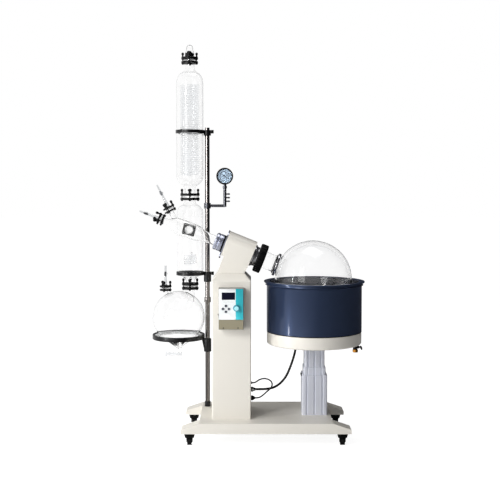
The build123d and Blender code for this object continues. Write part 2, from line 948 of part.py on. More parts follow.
with BuildPart() as condenser:
    condenser_side = (
        (middle_joint_z + lip_thickness, big_neck),
        (condenser_bottom - 28, big_neck),
        (condenser_bottom - 12, condenser_radius * 0.72),
        (condenser_bottom + 14, condenser_radius),
        (condenser_top - 14, condenser_radius),
        (condenser_top + condenser_shoulder * 0.4, condenser_radius * 0.86),
        (condenser_top + condenser_shoulder, mid_neck),
        (top_joint_z - lip_thickness, mid_neck),
    )
    turn(tower, closed_down(condenser_side))
    ring(tower, middle_joint_z + 0.15, middle_joint_z + lip_thickness, big_lip)
    ring(tower, top_joint_z - lip_thickness, top_joint_z - 0.15, mid_lip)
    hollow(tower, condenser_side, glass_wall, middle_joint_z, top_joint_z)
    for tail_z in condenser_tails:
        hose_tail(tail_z, condenser_radius)
    # Glass cap over the top joint
    cap_side = (
        (top_joint_z + lip_thickness, mid_neck),
        (cap_top - 50, mid_neck),
        (cap_top - 32, mid_neck - 9),
        (cap_top - 12, mid_neck - 9),
        (cap_top, 8),
    )
    turn(tower, closed_down(cap_side))
    ring(tower, top_joint_z + 0.15, top_joint_z + lip_thickness, mid_lip)
    hollow(tower, cap_side, glass_wall, top_joint_z, cap_top - glass_wall)
finish(condenser, "condenser")

# Each coil is a ribbed sleeve, with a stub at either end that meets the wall at its hose tail
with BuildPart() as condenser_coils:
    for (low, high), coil_radius, turns, body_radius in (
        (condenser_tails, 60, 12, condenser_radius),
        (vessel_tails, 40, 2, vessel_radius),
    ):
        pitch = (high - low) / turns
        outline = [(low, coil_radius - coil_tube)]
        for loop in range(turns):
            start = low + loop * pitch
            outline.append((start, coil_radius))
            outline.append((start + pitch / 2, coil_radius + coil_tube))
        outline.append((high, coil_radius))
        outline.append((high, coil_radius - coil_tube))
        turn(tower, outline)
        for tail_z in (low, high):
            stub = lengthways((tower_x, tower_y, tail_z), (0, 1, 0))
            ring(stub, coil_radius - 2, body_radius - glass_wall - seat_gap, coil_tube)
finish(condenser_coils, "condenser_coils")

vessel_port_z = flask_z - (tower_x - flask_x) * tan(tilt)
port = lengthways((tower_x, 0, vessel_port_z), (0, 1, 0))
vessel_wall_y = tower_y - vessel_radius
with BuildPart() as lower_vessel:
    vessel_side = (
        (lower_joint_z + lip_thickness, mid_neck),
        (vessel_bottom - 30, mid_neck),
        (vessel_bottom - 14, vessel_radius * 0.75),
        (vessel_bottom + 12, vessel_radius),
        (vessel_top - 12, vessel_radius),
        (vessel_top + 12, vessel_radius * 0.75),
        (vessel_top + 28, big_neck),
        (middle_joint_z - lip_thickness, big_neck),
    )
    turn(tower, closed_down(vessel_side))
    ring(port, square_joint_y + lip_thickness, vessel_wall_y + 20, square_neck)
    ring(port, square_joint_y + 0.15, square_joint_y + lip_thickness, square_lip)
    ring(tower, lower_joint_z + 0.15, lower_joint_z + lip_thickness, mid_lip)
    ring(tower, middle_joint_z - lip_thickness, middle_joint_z - 0.15, big_lip)
    hollow(tower, vessel_side, glass_wall, lower_joint_z, middle_joint_z)
    ring(port, square_joint_y, vessel_wall_y + 24, square_neck - glass_wall,
         mode=Mode.SUBTRACT)
    for tail_z in vessel_tails:
        hose_tail(tail_z, vessel_radius)
finish(lower_vessel, "lower_vessel")


def stopcock_stem(plane, start, length, cock_at, taper):
    """A glass stem with a cross barrel for the key, along a plane's X axis."""
    across = Plane(
        origin=plane.from_local_coords((start + cock_at, 0, 0)),
        x_dir=plane.x_dir,
        z_dir=(0, -1, 0),
    )
    with BuildPart() as stem:
        turn(
            plane,
            (
                (start, 0),
                (start, small_lip),
                (start + lip_thickness - 0.15, small_lip),
                (start + lip_thickness - 0.15, 11),
                (start + 24, 9),
                (start + length, taper),
                (start + length, 0),
            ),
        )
        with BuildSketch(across) as barrel:
            Circle(barrel_radius)
        extrude(barrel.sketch, amount=barrel_half, both=True)
        with BuildSketch(across) as bore:
            Circle(key_radius + key_gap)
        extrude(bore.sketch, amount=barrel_half + 1, both=True, mode=Mode.SUBTRACT)
    return stem.part


def stopcock_key(plane, at):
    """The key in such a barrel: a plug with a handle at the front."""
    middle = plane.from_local_coords((at, 0, 0))
    barrel = lengthways(middle, (0, 1, 0))
    ring(barrel, -barrel_half - 2, barrel_half + 1, key_radius)
    front = Plane(origin=middle - Vector(0, barrel_half + 1, 0), x_dir=plane.x_dir,
                  z_dir=(0, -1, 0))
    with BuildSketch(front) as handle:
        SlotOverall(30, 11)
    extrude(handle.sketch, amount=8)


# Adapter: tilted glass body with the feed branch, the rear port and both valve stems
feed_root = spin.from_local_coords((feed_port_at, 0, 0))
feed_direction = (-cos(radians(feed_angle)), 0, sin(radians(feed_angle)))
feed = lengthways(feed_root, feed_direction)
end_side = lengthways(spin.from_local_coords((end_flange_at, 0, 0)), -spin.x_dir)
with BuildPart() as adapter:
    body_side = (
        (end_flange_at + lip_thickness, small_neck),
        (-945, small_neck),
        (-915, adapter_radius - 4),
        (-860, adapter_radius),
        (-760, adapter_radius),
        (-690, adapter_neck_radius),
        (adapter_end, adapter_neck_radius),
    )
    turn(spin, closed_down(body_side))
    ring(spin, end_flange_at + 0.15, end_flange_at + lip_thickness, small_lip)
    ring(feed, 0, feed_flange_at - lip_thickness, small_neck)
    ring(feed, feed_flange_at - lip_thickness, feed_flange_at - 0.15, small_lip)
    ring(port, 0, square_joint_y - lip_thickness, square_neck)
    ring(port, square_joint_y - lip_thickness, square_joint_y - 0.15, square_lip)
    hollow(spin, body_side, glass_wall, end_flange_at, adapter_end + 1)
    ring(feed, 10, feed_flange_at, small_neck - glass_wall, mode=Mode.SUBTRACT)
    ring(port, 10, square_joint_y, square_neck - glass_wall, mode=Mode.SUBTRACT)
    add(stopcock_stem(feed, feed_flange_at + 0.15, 165, 108, 5))
    add(stopcock_stem(end_side, 0.15, 138, 95, 6))
finish(adapter, "adapter")
with BuildPart() as feed_valve_key:
    stopcock_key(feed, feed_flange_at + 108.15)
finish(feed_valve_key, "feed_valve_key")
with BuildPart() as end_valve_key:
    stopcock_key(end_side, 95.15)
finish(end_valve_key, "end_valve_key")

# Receiving flask: a sphere with two necks, a vent stem and a drain tap
receiver = (receiver_x, tower_y, receiver_z)
neck_line = lengthways((tower_x, tower_y, 0), (0, 0, 1))
vent_line = lengthways((vent_x, tower_y, 0), (0, 0, 1))
drain_line = lengthways((drain_x, tower_y, 0), (0, 0, 1))
tap_line = lengthways((drain_x, tower_y, drain_barrel_z), (-1, 0, 0))
with BuildPart() as receiving_flask:
    with Locations(receiver):
        Sphere(receiver_radius, rotation=(0, 0, 90))
    well_inside = receiver_radius * 0.6
    neck_low = receiver_z + well_inside
    ring(neck_line, neck_low, lower_joint_z - lip_thickness, mid_neck)
    ring(neck_line, lower_joint_z - lip_thickness, lower_joint_z - 0.15, mid_lip)
    ring(vent_line, neck_low, vent_joint_z - lip_thickness, small_neck)
    ring(vent_line, vent_joint_z - lip_thickness, vent_joint_z - 0.15, small_lip)
    ring(drain_line, drain_barrel_z - 34, receiver_z - well_inside, 12)
    ring(tap_line, -14, 74, 14)
    with Locations(receiver):
        Sphere(receiver_radius - flask_wall, rotation=(0, 0, 90), mode=Mode.SUBTRACT)
    ring(neck_line, neck_low - 1, lower_joint_z, mid_neck - glass_wall, mode=Mode.SUBTRACT)
    ring(vent_line, neck_low - 1, vent_joint_z, small_neck - glass_wall, mode=Mode.SUBTRACT)
    ring(drain_line, drain_barrel_z - 35, receiver_z - well_inside, 6, mode=Mode.SUBTRACT)
    ring(tap_line, -15, 75, 7 + key_gap, mode=Mode.SUBTRACT)
    add(stopcock_stem(vent_line, vent_joint_z + 0.15, 140, 90, 7))
finish(receiving_flask, "receiving_flask")
with BuildPart() as vent_valve_key:
    stopcock_key(vent_line, vent_joint_z + 90.15)
finish(vent_valve_key, "vent_valve_key")
with BuildPart() as receiver_drain_key:
    ring(tap_line, -12, 82, 7)
    with BuildSketch(Plane(origin=tap_line.from_local_coords((82, 0, 0)),
                           x_dir=(0, 0, 1), z_dir=(-1, 0, 0))):
        SlotOverall(34, 12)
    extrude(amount=10)
finish(receiver_drain_key, "receiver_drain_key")

# Support ring under the receiving flask: steel ring, rubber ring and the arm to the rod
holder = lengthways((receiver_x, tower_y, 0), (0, 0, 1))
steel_top = support_z + support_steel
with BuildPart() as support_ring:
    ring(holder, support_z, steel_top, support_outer - 2, support_inner)
    ring(rod, arm_boss_low, support_z, boss_radius)
    with BuildSketch(Plane.XZ.offset(-tower_y)):
        Polygon(
            (receiver_x + support_inner + 6, support_z + 2),
            (rod_x - 16, arm_boss_low + 6),
            (rod_x - 16, arm_boss_low + 46),
            (receiver_x + support_outer - 6, steel_top),
            (receiver_x + support_inner + 6, steel_top),
            align=None,
        )
    extrude(amount=14, both=True)
    ring(rod, arm_boss_low - 1, steel_top + 1, rod_bore, mode=Mode.SUBTRACT)
    # The rubber ring lies on the steel one, and its inner face follows the flask
    ring(holder, steel_top + 0.1, steel_top + support_rubber, support_outer,
         support_inner - 12)
    with Locations(receiver):
        Sphere(receiver_radius + seat_gap, mode=Mode.SUBTRACT)
finish(support_ring, "support_ring")

# Flange rings that clamp the glass joints, and the studs with wing nuts that draw them up
joints = (
    (tower, top_joint_z, mid_ring, mid_thick, mid_circle, mid_neck, 4),
    (tower, middle_joint_z, big_ring, big_thick, big_circle, big_neck, 4),
    (tower, lower_joint_z, mid_ring, mid_thick, mid_circle, mid_neck, 4),
    (feed, feed_flange_at, small_ring, small_thick, small_circle, small_neck, 3),
    (end_side, 0, small_ring, small_thick, small_circle, small_neck, 3),
    (vent_line, vent_joint_z, small_ring, small_thick, small_circle, small_neck, 3),
)
with BuildPart() as glass_flanges:
    for plane, at, outer, thick, circle, neck, count in joints:
        for side in (-1, 1):
            near = at + side * ring_gap
            start = near if side > 0 else near - thick
            face = Plane(origin=plane.from_local_coords((start, 0, 0)), x_dir=(0, 1, 0),
                         z_dir=plane.x_dir)
            with BuildSketch(face):
                Circle(outer)
                Circle(neck + seat_gap, mode=Mode.SUBTRACT)
                with PolarLocations(circle, count, 45 if count == 3 else 0, rotate=False):
                    Rectangle(2 * bolt_radius + 0.4, 2 * bolt_radius + 0.4,
                              mode=Mode.SUBTRACT)
            extrude(amount=thick)
    square_face = Plane(origin=port.origin, x_dir=spin.x_dir, z_dir=(0, 1, 0))
    for start in (
        square_joint_y - lip_thickness - 0.1 - square_thick,
        square_joint_y + lip_thickness + 0.1,
    ):
        with BuildSketch(square_face.offset(start)):
            RectangleRounded(square_side, square_side, 9)
            Circle(square_neck + seat_gap, mode=Mode.SUBTRACT)
            with PolarLocations(square_circle, 4, 45, rotate=False):
                Rectangle(2 * bolt_radius + 0.4, 2 * bolt_radius + 0.4, mode=Mode.SUBTRACT)
        extrude(amount=square_thick)
finish(glass_flanges, "glass_flanges")

with BuildPart() as wing_nuts:
    for plane, at, outer, thick, circle, neck, count in joints:
        low = at - ring_gap - thick
        high = at + ring_gap + thick
        face = Plane(origin=plane.origin, x_dir=(0, 1, 0), z_dir=plane.x_dir)
        for bolt in range(count):
            turned = radians((45 if count == 3 else 0) + 360 * bolt / count)
            spot = face.from_local_coords((circle * cos(turned), circle * sin(turned), 0))
            bolt_plane = Plane(origin=spot, x_dir=face.x_dir, z_dir=face.z_dir)
            with BuildSketch(bolt_plane.offset(low - 6)):
                Rectangle(12, 12)
            extrude(amount=5.9)
            with BuildSketch(bolt_plane.offset(low - 1)):
                Rectangle(2 * bolt_radius, 2 * bolt_radius)
            extrude(amount=high + 14 - low)
            # The nut's wings stand across the radius, in a V
            wing_origin = face.from_local_coords(
                ((circle - 2.5) * cos(turned), (circle - 2.5) * sin(turned), high + 0.1)
            )
            outward = face.from_local_coords((cos(turned), sin(turned), 0)) - face.origin
            with BuildSketch(Plane(origin=wing_origin, x_dir=outward.cross(face.z_dir),
                                   z_dir=outward)):
                flip = Plane(origin=wing_origin, x_dir=outward.cross(face.z_dir),
                             z_dir=outward)
                rise = 1 if flip.y_dir.dot(face.z_dir) > 0 else -1
                Polygon(
                    (-7, 0),
                    (7, 0),
                    (8, rise * nut_height),
                    (15, rise * wing_rise),
                    (9, rise * wing_rise),
                    (5, rise * (nut_height + 4)),
                    (-5, rise * (nut_height + 4)),
                    (-9, rise * wing_rise),
                    (-15, rise * wing_rise),
                    (-8, rise * nut_height),
                    align=None,
                )
            extrude(amount=5)
    # Plain bolts through the square flange
    for bolt in range(4):
        turned = radians(45 + 90 * bolt)
        spot = (square_circle * cos(turned), square_circle * sin(turned), 0)
        bolt_plane = Plane(origin=square_face.from_local_coords(spot),
                           x_dir=spin.x_dir, z_dir=(0, 1, 0))
        near = square_joint_y - lip_thickness - 0.1 - square_thick
        far = square_joint_y + lip_thickness + 0.1 + square_thick
        with BuildSketch(bolt_plane.offset(near - 5)):
            RegularPolygon(6.5, 6)
        extrude(amount=4.9)
        with BuildSketch(bolt_plane.offset(near - 1)):
            Rectangle(2 * bolt_radius, 2 * bolt_radius)
        extrude(amount=far - near + 2)
finish(wing_nuts, "wing_nuts")

# Vacuum gauge: case with its dial, the needle, and the manifold with hose barbs on its arm
gauge_back = tower_y + 12
gauge_line = lengthways((gauge_x, gauge_back, gauge_z), (0, -1, 0))
with BuildPart() as gauge_case:
    turn(
        gauge_line,
        (
            (0, 0),
            (0, gauge_radius - 5),
            (gauge_depth - 9, gauge_radius - 3),
            (gauge_depth - 9, gauge_radius),
            (gauge_depth, gauge_radius),
            (gauge_depth, gauge_radius - 7),
            (dial_face - 2, gauge_radius - 7),
            (dial_face - 2, 0),
        ),
    )
    # The dial plate lies in the case, with the needle's spindle hole
    ring(gauge_line, dial_face - 1.9, dial_face, gauge_radius - 7.2, 1.5 + running_gap)
finish(gauge_case, "gauge_case")

needle_rest = radians(-34)
needle_plane = Plane(
    origin=gauge_line.from_local_coords((dial_face + needle_gap, 0, 0)),
    x_dir=(cos(needle_rest), 0, sin(needle_rest)),
    z_dir=(0, -1, 0),
)
with BuildPart() as gauge_needle:
    with BuildSketch(needle_plane):
        Circle(4)
        Polygon((-14, -2.2), (-14, 2.2), (34, 0.7), (34, -0.7), align=None)
    extrude(amount=1.5)
    ring(gauge_line, dial_face - 1.5, dial_face + needle_gap + 1, 1.5)
finish(gauge_needle, "gauge_needle")

pipe_line = lengthways((gauge_x, tower_y, 0), (0, 0, 1))
arm_line = lengthways((rod_x, tower_y, manifold_arm_z), (1, 0, 0))
with BuildPart() as manifold:
    ring(pipe_line, manifold_bottom, gauge_z - gauge_radius + 3 - seat_gap, manifold_radius)
    ring(pipe_line, gauge_z - gauge_radius - 24, gauge_z - gauge_radius - 8,
         manifold_radius + 3)
    ring(arm_line, rod_radius + 4, gauge_x - rod_x, manifold_radius - 1)
    ring(rod, manifold_arm_z - 17, manifold_arm_z + 17, boss_radius - 2)
    for barb_z in barb_heights:
        barb_line = lengthways((gauge_x, tower_y, barb_z), (1, 0, 0))
        turn(
            barb_line,
            (
                (0, 0),
                (0, barb_radius - 1.5),
                (barb_length - 12, barb_radius - 1.5),
                (barb_length - 10, barb_radius),
                (barb_length, barb_radius - 2),
                (barb_length, 0),
            ),
        )
    ring(rod, manifold_arm_z - 18, manifold_arm_z + 18, rod_bore, mode=Mode.SUBTRACT)
finish(manifold, "manifold")

# Control box, its front panel, and the controls
box_middle_x = box_left + box_width / 2
box_top = box_bottom + box_height
with BuildPart() as control_box:
    with BuildSketch(Plane.XY.offset(box_bottom)):
        with Locations((box_middle_x, (box_back + box_front) / 2)):
            Rectangle(box_width, box_depth)
    extrude(amount=box_height)
    fillet(
        control_box.edges().filter_by(Axis.Z).group_by(Axis.Y)[0], 6
    )
    # Wells for the buttons, the knob's spindle and the switch
    button_spots = {
        "up": (button_x, button_z + button_pitch_z),
        "down": (button_x, button_z - button_pitch_z),
        "left": (button_x - button_pitch_x, button_z),
        "right": (button_x + button_pitch_x, button_z),
    }
    front_face = Plane.XZ.offset(-box_front)
    with BuildSketch(front_face):
        with Locations(*button_spots.values()):
            Circle(button_radius + 0.4)
        with Locations((dial_x, dial_z)):
            Circle(4 + running_gap)
    extrude(amount=-12, mode=Mode.SUBTRACT)
    with BuildSketch(Plane.YZ.offset(box_left)):
        with Locations((switch_y, switch_z)):
            Rectangle(16.6, 26.6)
    extrude(amount=14, mode=Mode.SUBTRACT)
finish(control_box, "control_box")

panel_left = box_left + 2
panel_right = box_left + box_width - 2
panel_top = box_top - 2
panel_plane = Plane.XZ.offset(-(box_front - 0.1))
panel_depth = panel_thickness - 0.1
with BuildPart() as control_panel:
    with BuildSketch(panel_plane):
        with Locations(((panel_left + panel_right) / 2, (panel_bottom + panel_top) / 2)):
            RectangleRounded(panel_right - panel_left, panel_top - panel_bottom, 7)
        with Locations((window_left + window_width / 2, window_bottom + window_height / 2)):
            Rectangle(window_width, window_height, mode=Mode.SUBTRACT)
        with Locations(*button_spots.values()):
            Circle(button_radius + 0.4, mode=Mode.SUBTRACT)
        with Locations((dial_x, dial_z)):
            Circle(4 + running_gap, mode=Mode.SUBTRACT)
    extrude(amount=panel_depth)
    # Display glass in its window, and the cover over the terminals below
    with BuildSketch(panel_plane):
        with Locations((window_left + window_width / 2, window_bottom + window_height / 2)):
            Rectangle(window_width - 0.6, window_height - 0.6)
    extrude(amount=panel_depth - 1)
    with BuildSketch(panel_plane):
        with Locations(
            ((panel_left + panel_right) / 2, (box_bottom + 2 + panel_bottom - 2) / 2)
        ):
            Rectangle(panel_right - panel_left, panel_bottom - box_bottom - 4)
    extrude(amount=panel_depth)
finish(control_panel, "control_panel")

for name, (x, z) in button_spots.items():
    with BuildPart() as button:
        stem = lengthways((x, panel_front, z), (0, -1, 0))
        ring(stem, button_travel - panel_thickness, button_height, button_radius)
        ring(stem, -panel_thickness - 5, 0, 3)
    finish(button, f"button_{name}")

with BuildPart() as speed_knob:
    knob_line = lengthways((dial_x, panel_front, dial_z), (0, -1, 0))
    turn(
        knob_line,
        (
            (0.3, 0),
            (0.3, dial_radius),
            (dial_height, dial_radius - 3),
            (dial_height, 0),
        ),
    )
    ring(knob_line, -panel_thickness - 11, 1, 4)
    # A pointer groove across the knob's face
    with BuildSketch(Plane(origin=knob_line.from_local_coords((dial_height - 1, 0, 0)),
                           x_dir=(1, 0, 0), z_dir=(0, -1, 0))):
        with Locations((0, 10)):
            Rectangle(2.4, 12)
    extrude(amount=2, mode=Mode.SUBTRACT)
finish(speed_knob, "speed_knob")

with BuildPart() as power_switch:
    with BuildSketch(Plane.XZ.offset(-(switch_y + 8))):
        Polygon(
            (box_left + 8, switch_z - 12),
            (box_left + 2, switch_z - 13),
            (box_left - 1.5, switch_z - 12.5),
            (box_left - 1.5, switch_z),
            (box_left - 6, switch_z + 12),
            (box_left + 2, switch_z + 13),
            (box_left + 8, switch_z + 10),
            align=None,
        )
    extrude(amount=16)
finish(power_switch, "power_switch")


def cord(points, diameter):
    """A round cord along straight runs joined by arcs as large as its runs allow."""
    route = [Vector(x, y, z) for x, y, z in points]
    runs = [b - a for a, b in zip(route, route[1:])]
    radii = []
    for before, after in zip(runs, runs[1:]):
        turn_angle = radians(before.get_angle(after))
        shorter = min(before.length, after.length)
        radii.append(0.45 * shorter / tan(turn_angle / 2))
    print("arc radii:", [round(r) for r in radii], "runs:", [round(r.length) for r in runs])
    with BuildPart() as tube:
        with BuildLine() as line:
            FilletPolyline(*route, radius=radii)
        with BuildSketch(Plane(origin=route[0], z_dir=runs[0])):
            Circle(diameter / 2)
        sweep(path=line.line)
    swept = pi * diameter**2 / 4 * sum(edge.length for edge in line.edges())
    print("volume", round(tube.part.volume), "section times length", round(swept))
    return tube


# Bath cable: from the gland under the bath's base down to the lower part of the column
plug_face = column_right + plug_length
thick_route = (
    (cable_gland_x, 0, base_ring_bottom - gland_depth),
    (cable_gland_x, 0, 525),
    (253, 0, 474),
    (234.5, 0, 420),
    (213, 0, 368),
    (185.6, 0, 330),
    (153, 0, 302.5),
    (122.7, 0, 289),
    (90.4, 0, 283.6),
    (55, 0, thick_plug_z),
    (plug_face, 0, thick_plug_z),
)
thick_cable = cord(thick_route, thick_cable_diameter)
finish(thick_cable, "thick_cable")

# Mains lead: a loop from its gland on the column back to the lower plug
thin_route = (
    (column_right + 10, thin_cable_y, thin_gland_z),
    (19, thin_cable_y, thin_gland_z),
    (40, thin_cable_y, 342),
    (70, thin_cable_y, 352.5),
    (100, thin_cable_y, 347),
    (119, thin_cable_y, 332),
    (124.5, thin_cable_y, 312),
    (115, thin_cable_y, 292),
    (90.4, thin_cable_y, 270),
    (64, thin_cable_y, 246),
    (42, thin_cable_y, thin_plug_z),
    (plug_face, thin_cable_y, thin_plug_z),
)
thin_cable = cord(thin_route, thin_cable_diameter)
finish(thin_cable, "thin_cable")

# Plugs and glands on the column's side, where the cables enter
with BuildPart() as cable_plugs:
    for plug_y, plug_z in ((0, thick_plug_z), (thin_cable_y, thin_plug_z)):
        plug_line = lengthways((column_right, plug_y, plug_z), (1, 0, 0))
        ring(plug_line, 0.1, plug_length, plug_radius)
    gland_line = lengthways((column_right, thin_cable_y, thin_gland_z), (1, 0, 0))
    ring(gland_line, 0.1, 10, gland_radius)
finish(cable_plugs, "cable_plugs")

print("facets in all", sum(totals))
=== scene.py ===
from math import acos, cos, pi, radians, sin, sqrt

import bmesh
import bpy
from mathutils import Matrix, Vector


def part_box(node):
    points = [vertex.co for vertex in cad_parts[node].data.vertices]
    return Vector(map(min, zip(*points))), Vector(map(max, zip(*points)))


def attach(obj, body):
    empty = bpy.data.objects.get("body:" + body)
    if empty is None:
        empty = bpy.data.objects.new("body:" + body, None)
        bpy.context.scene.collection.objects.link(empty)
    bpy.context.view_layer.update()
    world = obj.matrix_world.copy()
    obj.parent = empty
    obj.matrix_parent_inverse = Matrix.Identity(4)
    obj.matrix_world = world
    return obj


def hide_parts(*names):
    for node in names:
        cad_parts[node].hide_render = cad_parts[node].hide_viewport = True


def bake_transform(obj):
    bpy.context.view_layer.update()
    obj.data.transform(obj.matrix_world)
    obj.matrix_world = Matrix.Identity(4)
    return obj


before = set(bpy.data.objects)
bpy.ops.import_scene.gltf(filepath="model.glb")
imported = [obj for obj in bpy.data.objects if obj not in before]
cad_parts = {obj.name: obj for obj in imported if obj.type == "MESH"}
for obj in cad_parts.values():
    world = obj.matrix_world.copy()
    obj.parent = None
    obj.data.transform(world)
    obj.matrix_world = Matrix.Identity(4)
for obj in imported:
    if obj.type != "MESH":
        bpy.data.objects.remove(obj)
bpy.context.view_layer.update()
scene = bpy.context.scene
MM = 0.001

# Directions
UP, BACK, FRONT = Vector((0, 0, 1)), Vector((0, 1, 0)), Vector((0, -1, 0))
LEFT = Vector((-1, 0, 0))
TILT = radians(21.44)
ALONG = Vector((cos(TILT), 0, -sin(TILT)))       # the flask's axis, down to the bath
FEED_RISE = radians(62.5)
FEED = Vector((-cos(FEED_RISE), 0, sin(FEED_RISE)))

# Places in millimetres, with z 0 for an upright axis
FLASK = Vector((372, 0, 958))
TOWER = Vector((-386, 160, 0))
ROD = Vector((-278, 160, 0))
BATH = Vector((378, 0, 0))
RECEIVER = Vector((-459, 160, 703))
HOLDER = Vector((-459, 160, 0))
VENT = Vector((-540, 160, 0))
DRAIN = Vector((-451, 160, 0))
TAP = Vector((-451, 160, 472))
VALVE = Vector((630, 0, 0))
GLAND = Vector((266, 0, 0))
GAUGE = Vector((-169, 172, 1584))
PORT = Vector((-386, 0, 958 + (386 + 372) * sin(TILT) / cos(TILT)))
FEED_ROOT = FLASK - 879 * ALONG
END_ROOT = FLASK - 994 * ALONG
MAIN_TAILS = (1590, 2150)       # heights of the condenser's hose tails
LOW_TAILS = (1035, 1095)        # and of the lower vessel's

# Camera: it looks a little down, and the lens shift lifts the view back
DIP = 0.04048
camera = bpy.data.cameras.new("camera")
camera.sensor_width = 36
camera.lens = 67.74
camera.shift_y = -0.05
camera.clip_end = 60
eye = bpy.data.objects.new("camera", camera)
scene.collection.objects.link(eye)
eye.location = (-0.0122, -5.7059, 1.5174)
eye.rotation_euler = (pi / 2 - DIP, 0, 0)
scene.camera = eye
scene.view_settings.view_transform = "Standard"


# Materials
def srgb(r, g, b):
    """A linear colour from one given in 0 to 255."""
    return tuple(
        v / 12.92 if v <= 0.04045 else ((v + 0.055) / 1.055) ** 2.4
        for v in (r / 255, g / 255, b / 255)
    ) + (1,)


def surface(name, colour, rough, metal=0.0, grain=(700, 700, 700), bump=0.05, vary=0.06,
            rough_vary=0.12, coat=0.0, specular=0.5, patch=4.0, depth=0.0003):
    """A finish with fine grain in its bump, and uneven gloss and tone at a larger scale."""
    material = bpy.data.materials.new(name)
    material.use_nodes = True
    tree = material.node_tree
    shader = tree.nodes["Principled BSDF"]
    place = tree.nodes.new("ShaderNodeTexCoord")
    mapping = tree.nodes.new("ShaderNodeMapping")
    mapping.inputs["Scale"].default_value = grain
    tree.links.new(place.outputs["Object"], mapping.inputs["Vector"])
    fine = tree.nodes.new("ShaderNodeTexNoise")
    fine.inputs["Scale"].default_value = 1.0
    fine.inputs["Detail"].default_value = 3.0
    tree.links.new(mapping.outputs["Vector"], fine.inputs["Vector"])
    relief = tree.nodes.new("ShaderNodeBump")
    relief.inputs["Strength"].default_value = bump
    relief.inputs["Distance"].default_value = depth
    tree.links.new(fine.outputs["Fac"], relief.inputs["Height"])
    tree.links.new(relief.outputs["Normal"], shader.inputs["Normal"])
    broad = tree.nodes.new("ShaderNodeTexNoise")
    broad.inputs["Scale"].default_value = patch
    broad.inputs["Detail"].default_value = 4.0
    tree.links.new(place.outputs["Object"], broad.inputs["Vector"])
    tone = tree.nodes.new("ShaderNodeMix")
    tone.data_type = "RGBA"
    tone.inputs["A"].default_value = tuple(c * (1 - vary) for c in colour[:3]) + (1,)
    tone.inputs["B"].default_value = tuple(min(1, c * (1 + vary)) for c in colour[:3]) + (1,)
    tree.links.new(broad.outputs["Fac"], tone.inputs["Factor"])
    tree.links.new(tone.outputs["Result"], shader.inputs["Base Color"])
    gloss = tree.nodes.new("ShaderNodeMapRange")
    gloss.inputs["To Min"].default_value = max(0.02, rough * (1 - rough_vary))
    gloss.inputs["To Max"].default_value = min(1, rough * (1 + rough_vary))
    tree.links.new(fine.outputs["Fac"], gloss.inputs["Value"])
    tree.links.new(gloss.outputs["Result"], shader.inputs["Roughness"])
    shader.inputs["Metallic"].default_value = metal
    shader.inputs["Coat Weight"].default_value = coat
    shader.inputs["Coat Roughness"].default_value = 0.08
    shader.inputs["Specular IOR Level"].default_value = specular
    return material


def clear(name, tint=(0.985, 0.985, 0.985), ior=1.33):
    """Blown glass, with a faint unevenness."""
    material = surface(name, tint + (1,), 0.03, grain=(9, 9, 9), bump=0.02, vary=0.01,
                       rough_vary=0.3, patch=3.0, depth=0.001)
    shader = material.node_tree.nodes["Principled BSDF"]
    shader.inputs["Transmission Weight"].default_value = 1.0
    shader.inputs["IOR"].default_value = ior
    return material


cream = surface("cream_paint", srgb(231, 227, 218), 0.38, bump=0.12, vary=0.015)
navy = surface("navy_enamel", srgb(52, 64, 90), 0.3, 0.45, bump=0.1, vary=0.08, specular=0,
               coat=0.4)
# Dark at grazing angles too, so that the far side keeps its colour
navy.node_tree.nodes["Principled BSDF"].inputs["Specular Tint"].default_value = (
    0.25, 0.3, 0.42, 1)
steel = surface("stainless", srgb(190, 190, 192), 0.28, 1.0, (60, 60, 1500), 0.1, 0.05)
chrome = surface("chrome", srgb(205, 205, 208), 0.07, 1.0, bump=0.02, vary=0.03)
machined = surface("machined_steel", srgb(170, 170, 175), 0.3, 1.0, (40, 900, 900), 0.1, 0.05)
polished = surface("polished_liner", srgb(176, 178, 186), 0.16, 0.85, (60, 60, 2), 0.5,
                   0.03)
dark_steel = surface("dark_steel", srgb(96, 97, 102), 0.3, 1.0, bump=0.06, vary=0.08)
alloy = surface("turned_aluminium", srgb(186, 190, 206), 0.3, 0.9, (900, 40, 40), 0.08, 0.05)
extruded = surface("anodised_extrusion", srgb(224, 227, 238), 0.3, 0.3, (700, 700, 5), 0.15,
                   0.03)
brass = surface("brass", srgb(205, 140, 60), 0.28, 0.9, bump=0.08, vary=0.1)
black = surface("black_plastic", srgb(4, 4, 5), 0.42, bump=0.25, vary=0.2, specular=0.16)
black_paint = surface("black_satin_steel", srgb(11, 11, 14), 0.32, bump=0.1, vary=0.15,
                      specular=0.3)
rubber = surface("black_rubber", srgb(10, 10, 11), 0.6, bump=0.3, vary=0.2, specular=0.25)
sheath = surface("cable_sheath", srgb(5, 5, 6), 0.55, bump=0.15, vary=0.2, specular=0.25)
box_grey = surface("box_plastic", srgb(142, 141, 136), 0.45, bump=0.25, vary=0.06)
white_panel = surface("panel_white", srgb(244, 247, 247), 0.3, bump=0.03, vary=0.01)
teal_panel = surface("panel_teal", srgb(54, 193, 206), 0.3, bump=0.03, vary=0.03)
olive_cover = surface("cover_grey", srgb(148, 141, 118), 0.45, bump=0.2, vary=0.04)
screen = surface("screen", srgb(12, 14, 34), 0.3, bump=0.01, vary=0.2, specular=0.15)
button_dark = surface("button_dark", srgb(62, 66, 78), 0.4, bump=0.1, vary=0.05)
knob_rim = surface("knob_rim", srgb(66, 150, 170), 0.35, bump=0.05, vary=0.05)
knob_cyan = surface("knob_cyan", srgb(176, 238, 246), 0.3, bump=0.05, vary=0.03)
dial_blue = surface("dial_blue", srgb(178, 203, 226), 0.35, bump=0.03, vary=0.04)
ink = surface("dial_ink", srgb(30, 40, 62), 0.5, bump=0.05, vary=0.1)
key_plastic = surface("key_plastic", srgb(40, 41, 44), 0.4, bump=0.1, vary=0.1)
key_grey = surface("key_grey", srgb(112, 114, 118), 0.25, bump=0.1, vary=0.06)
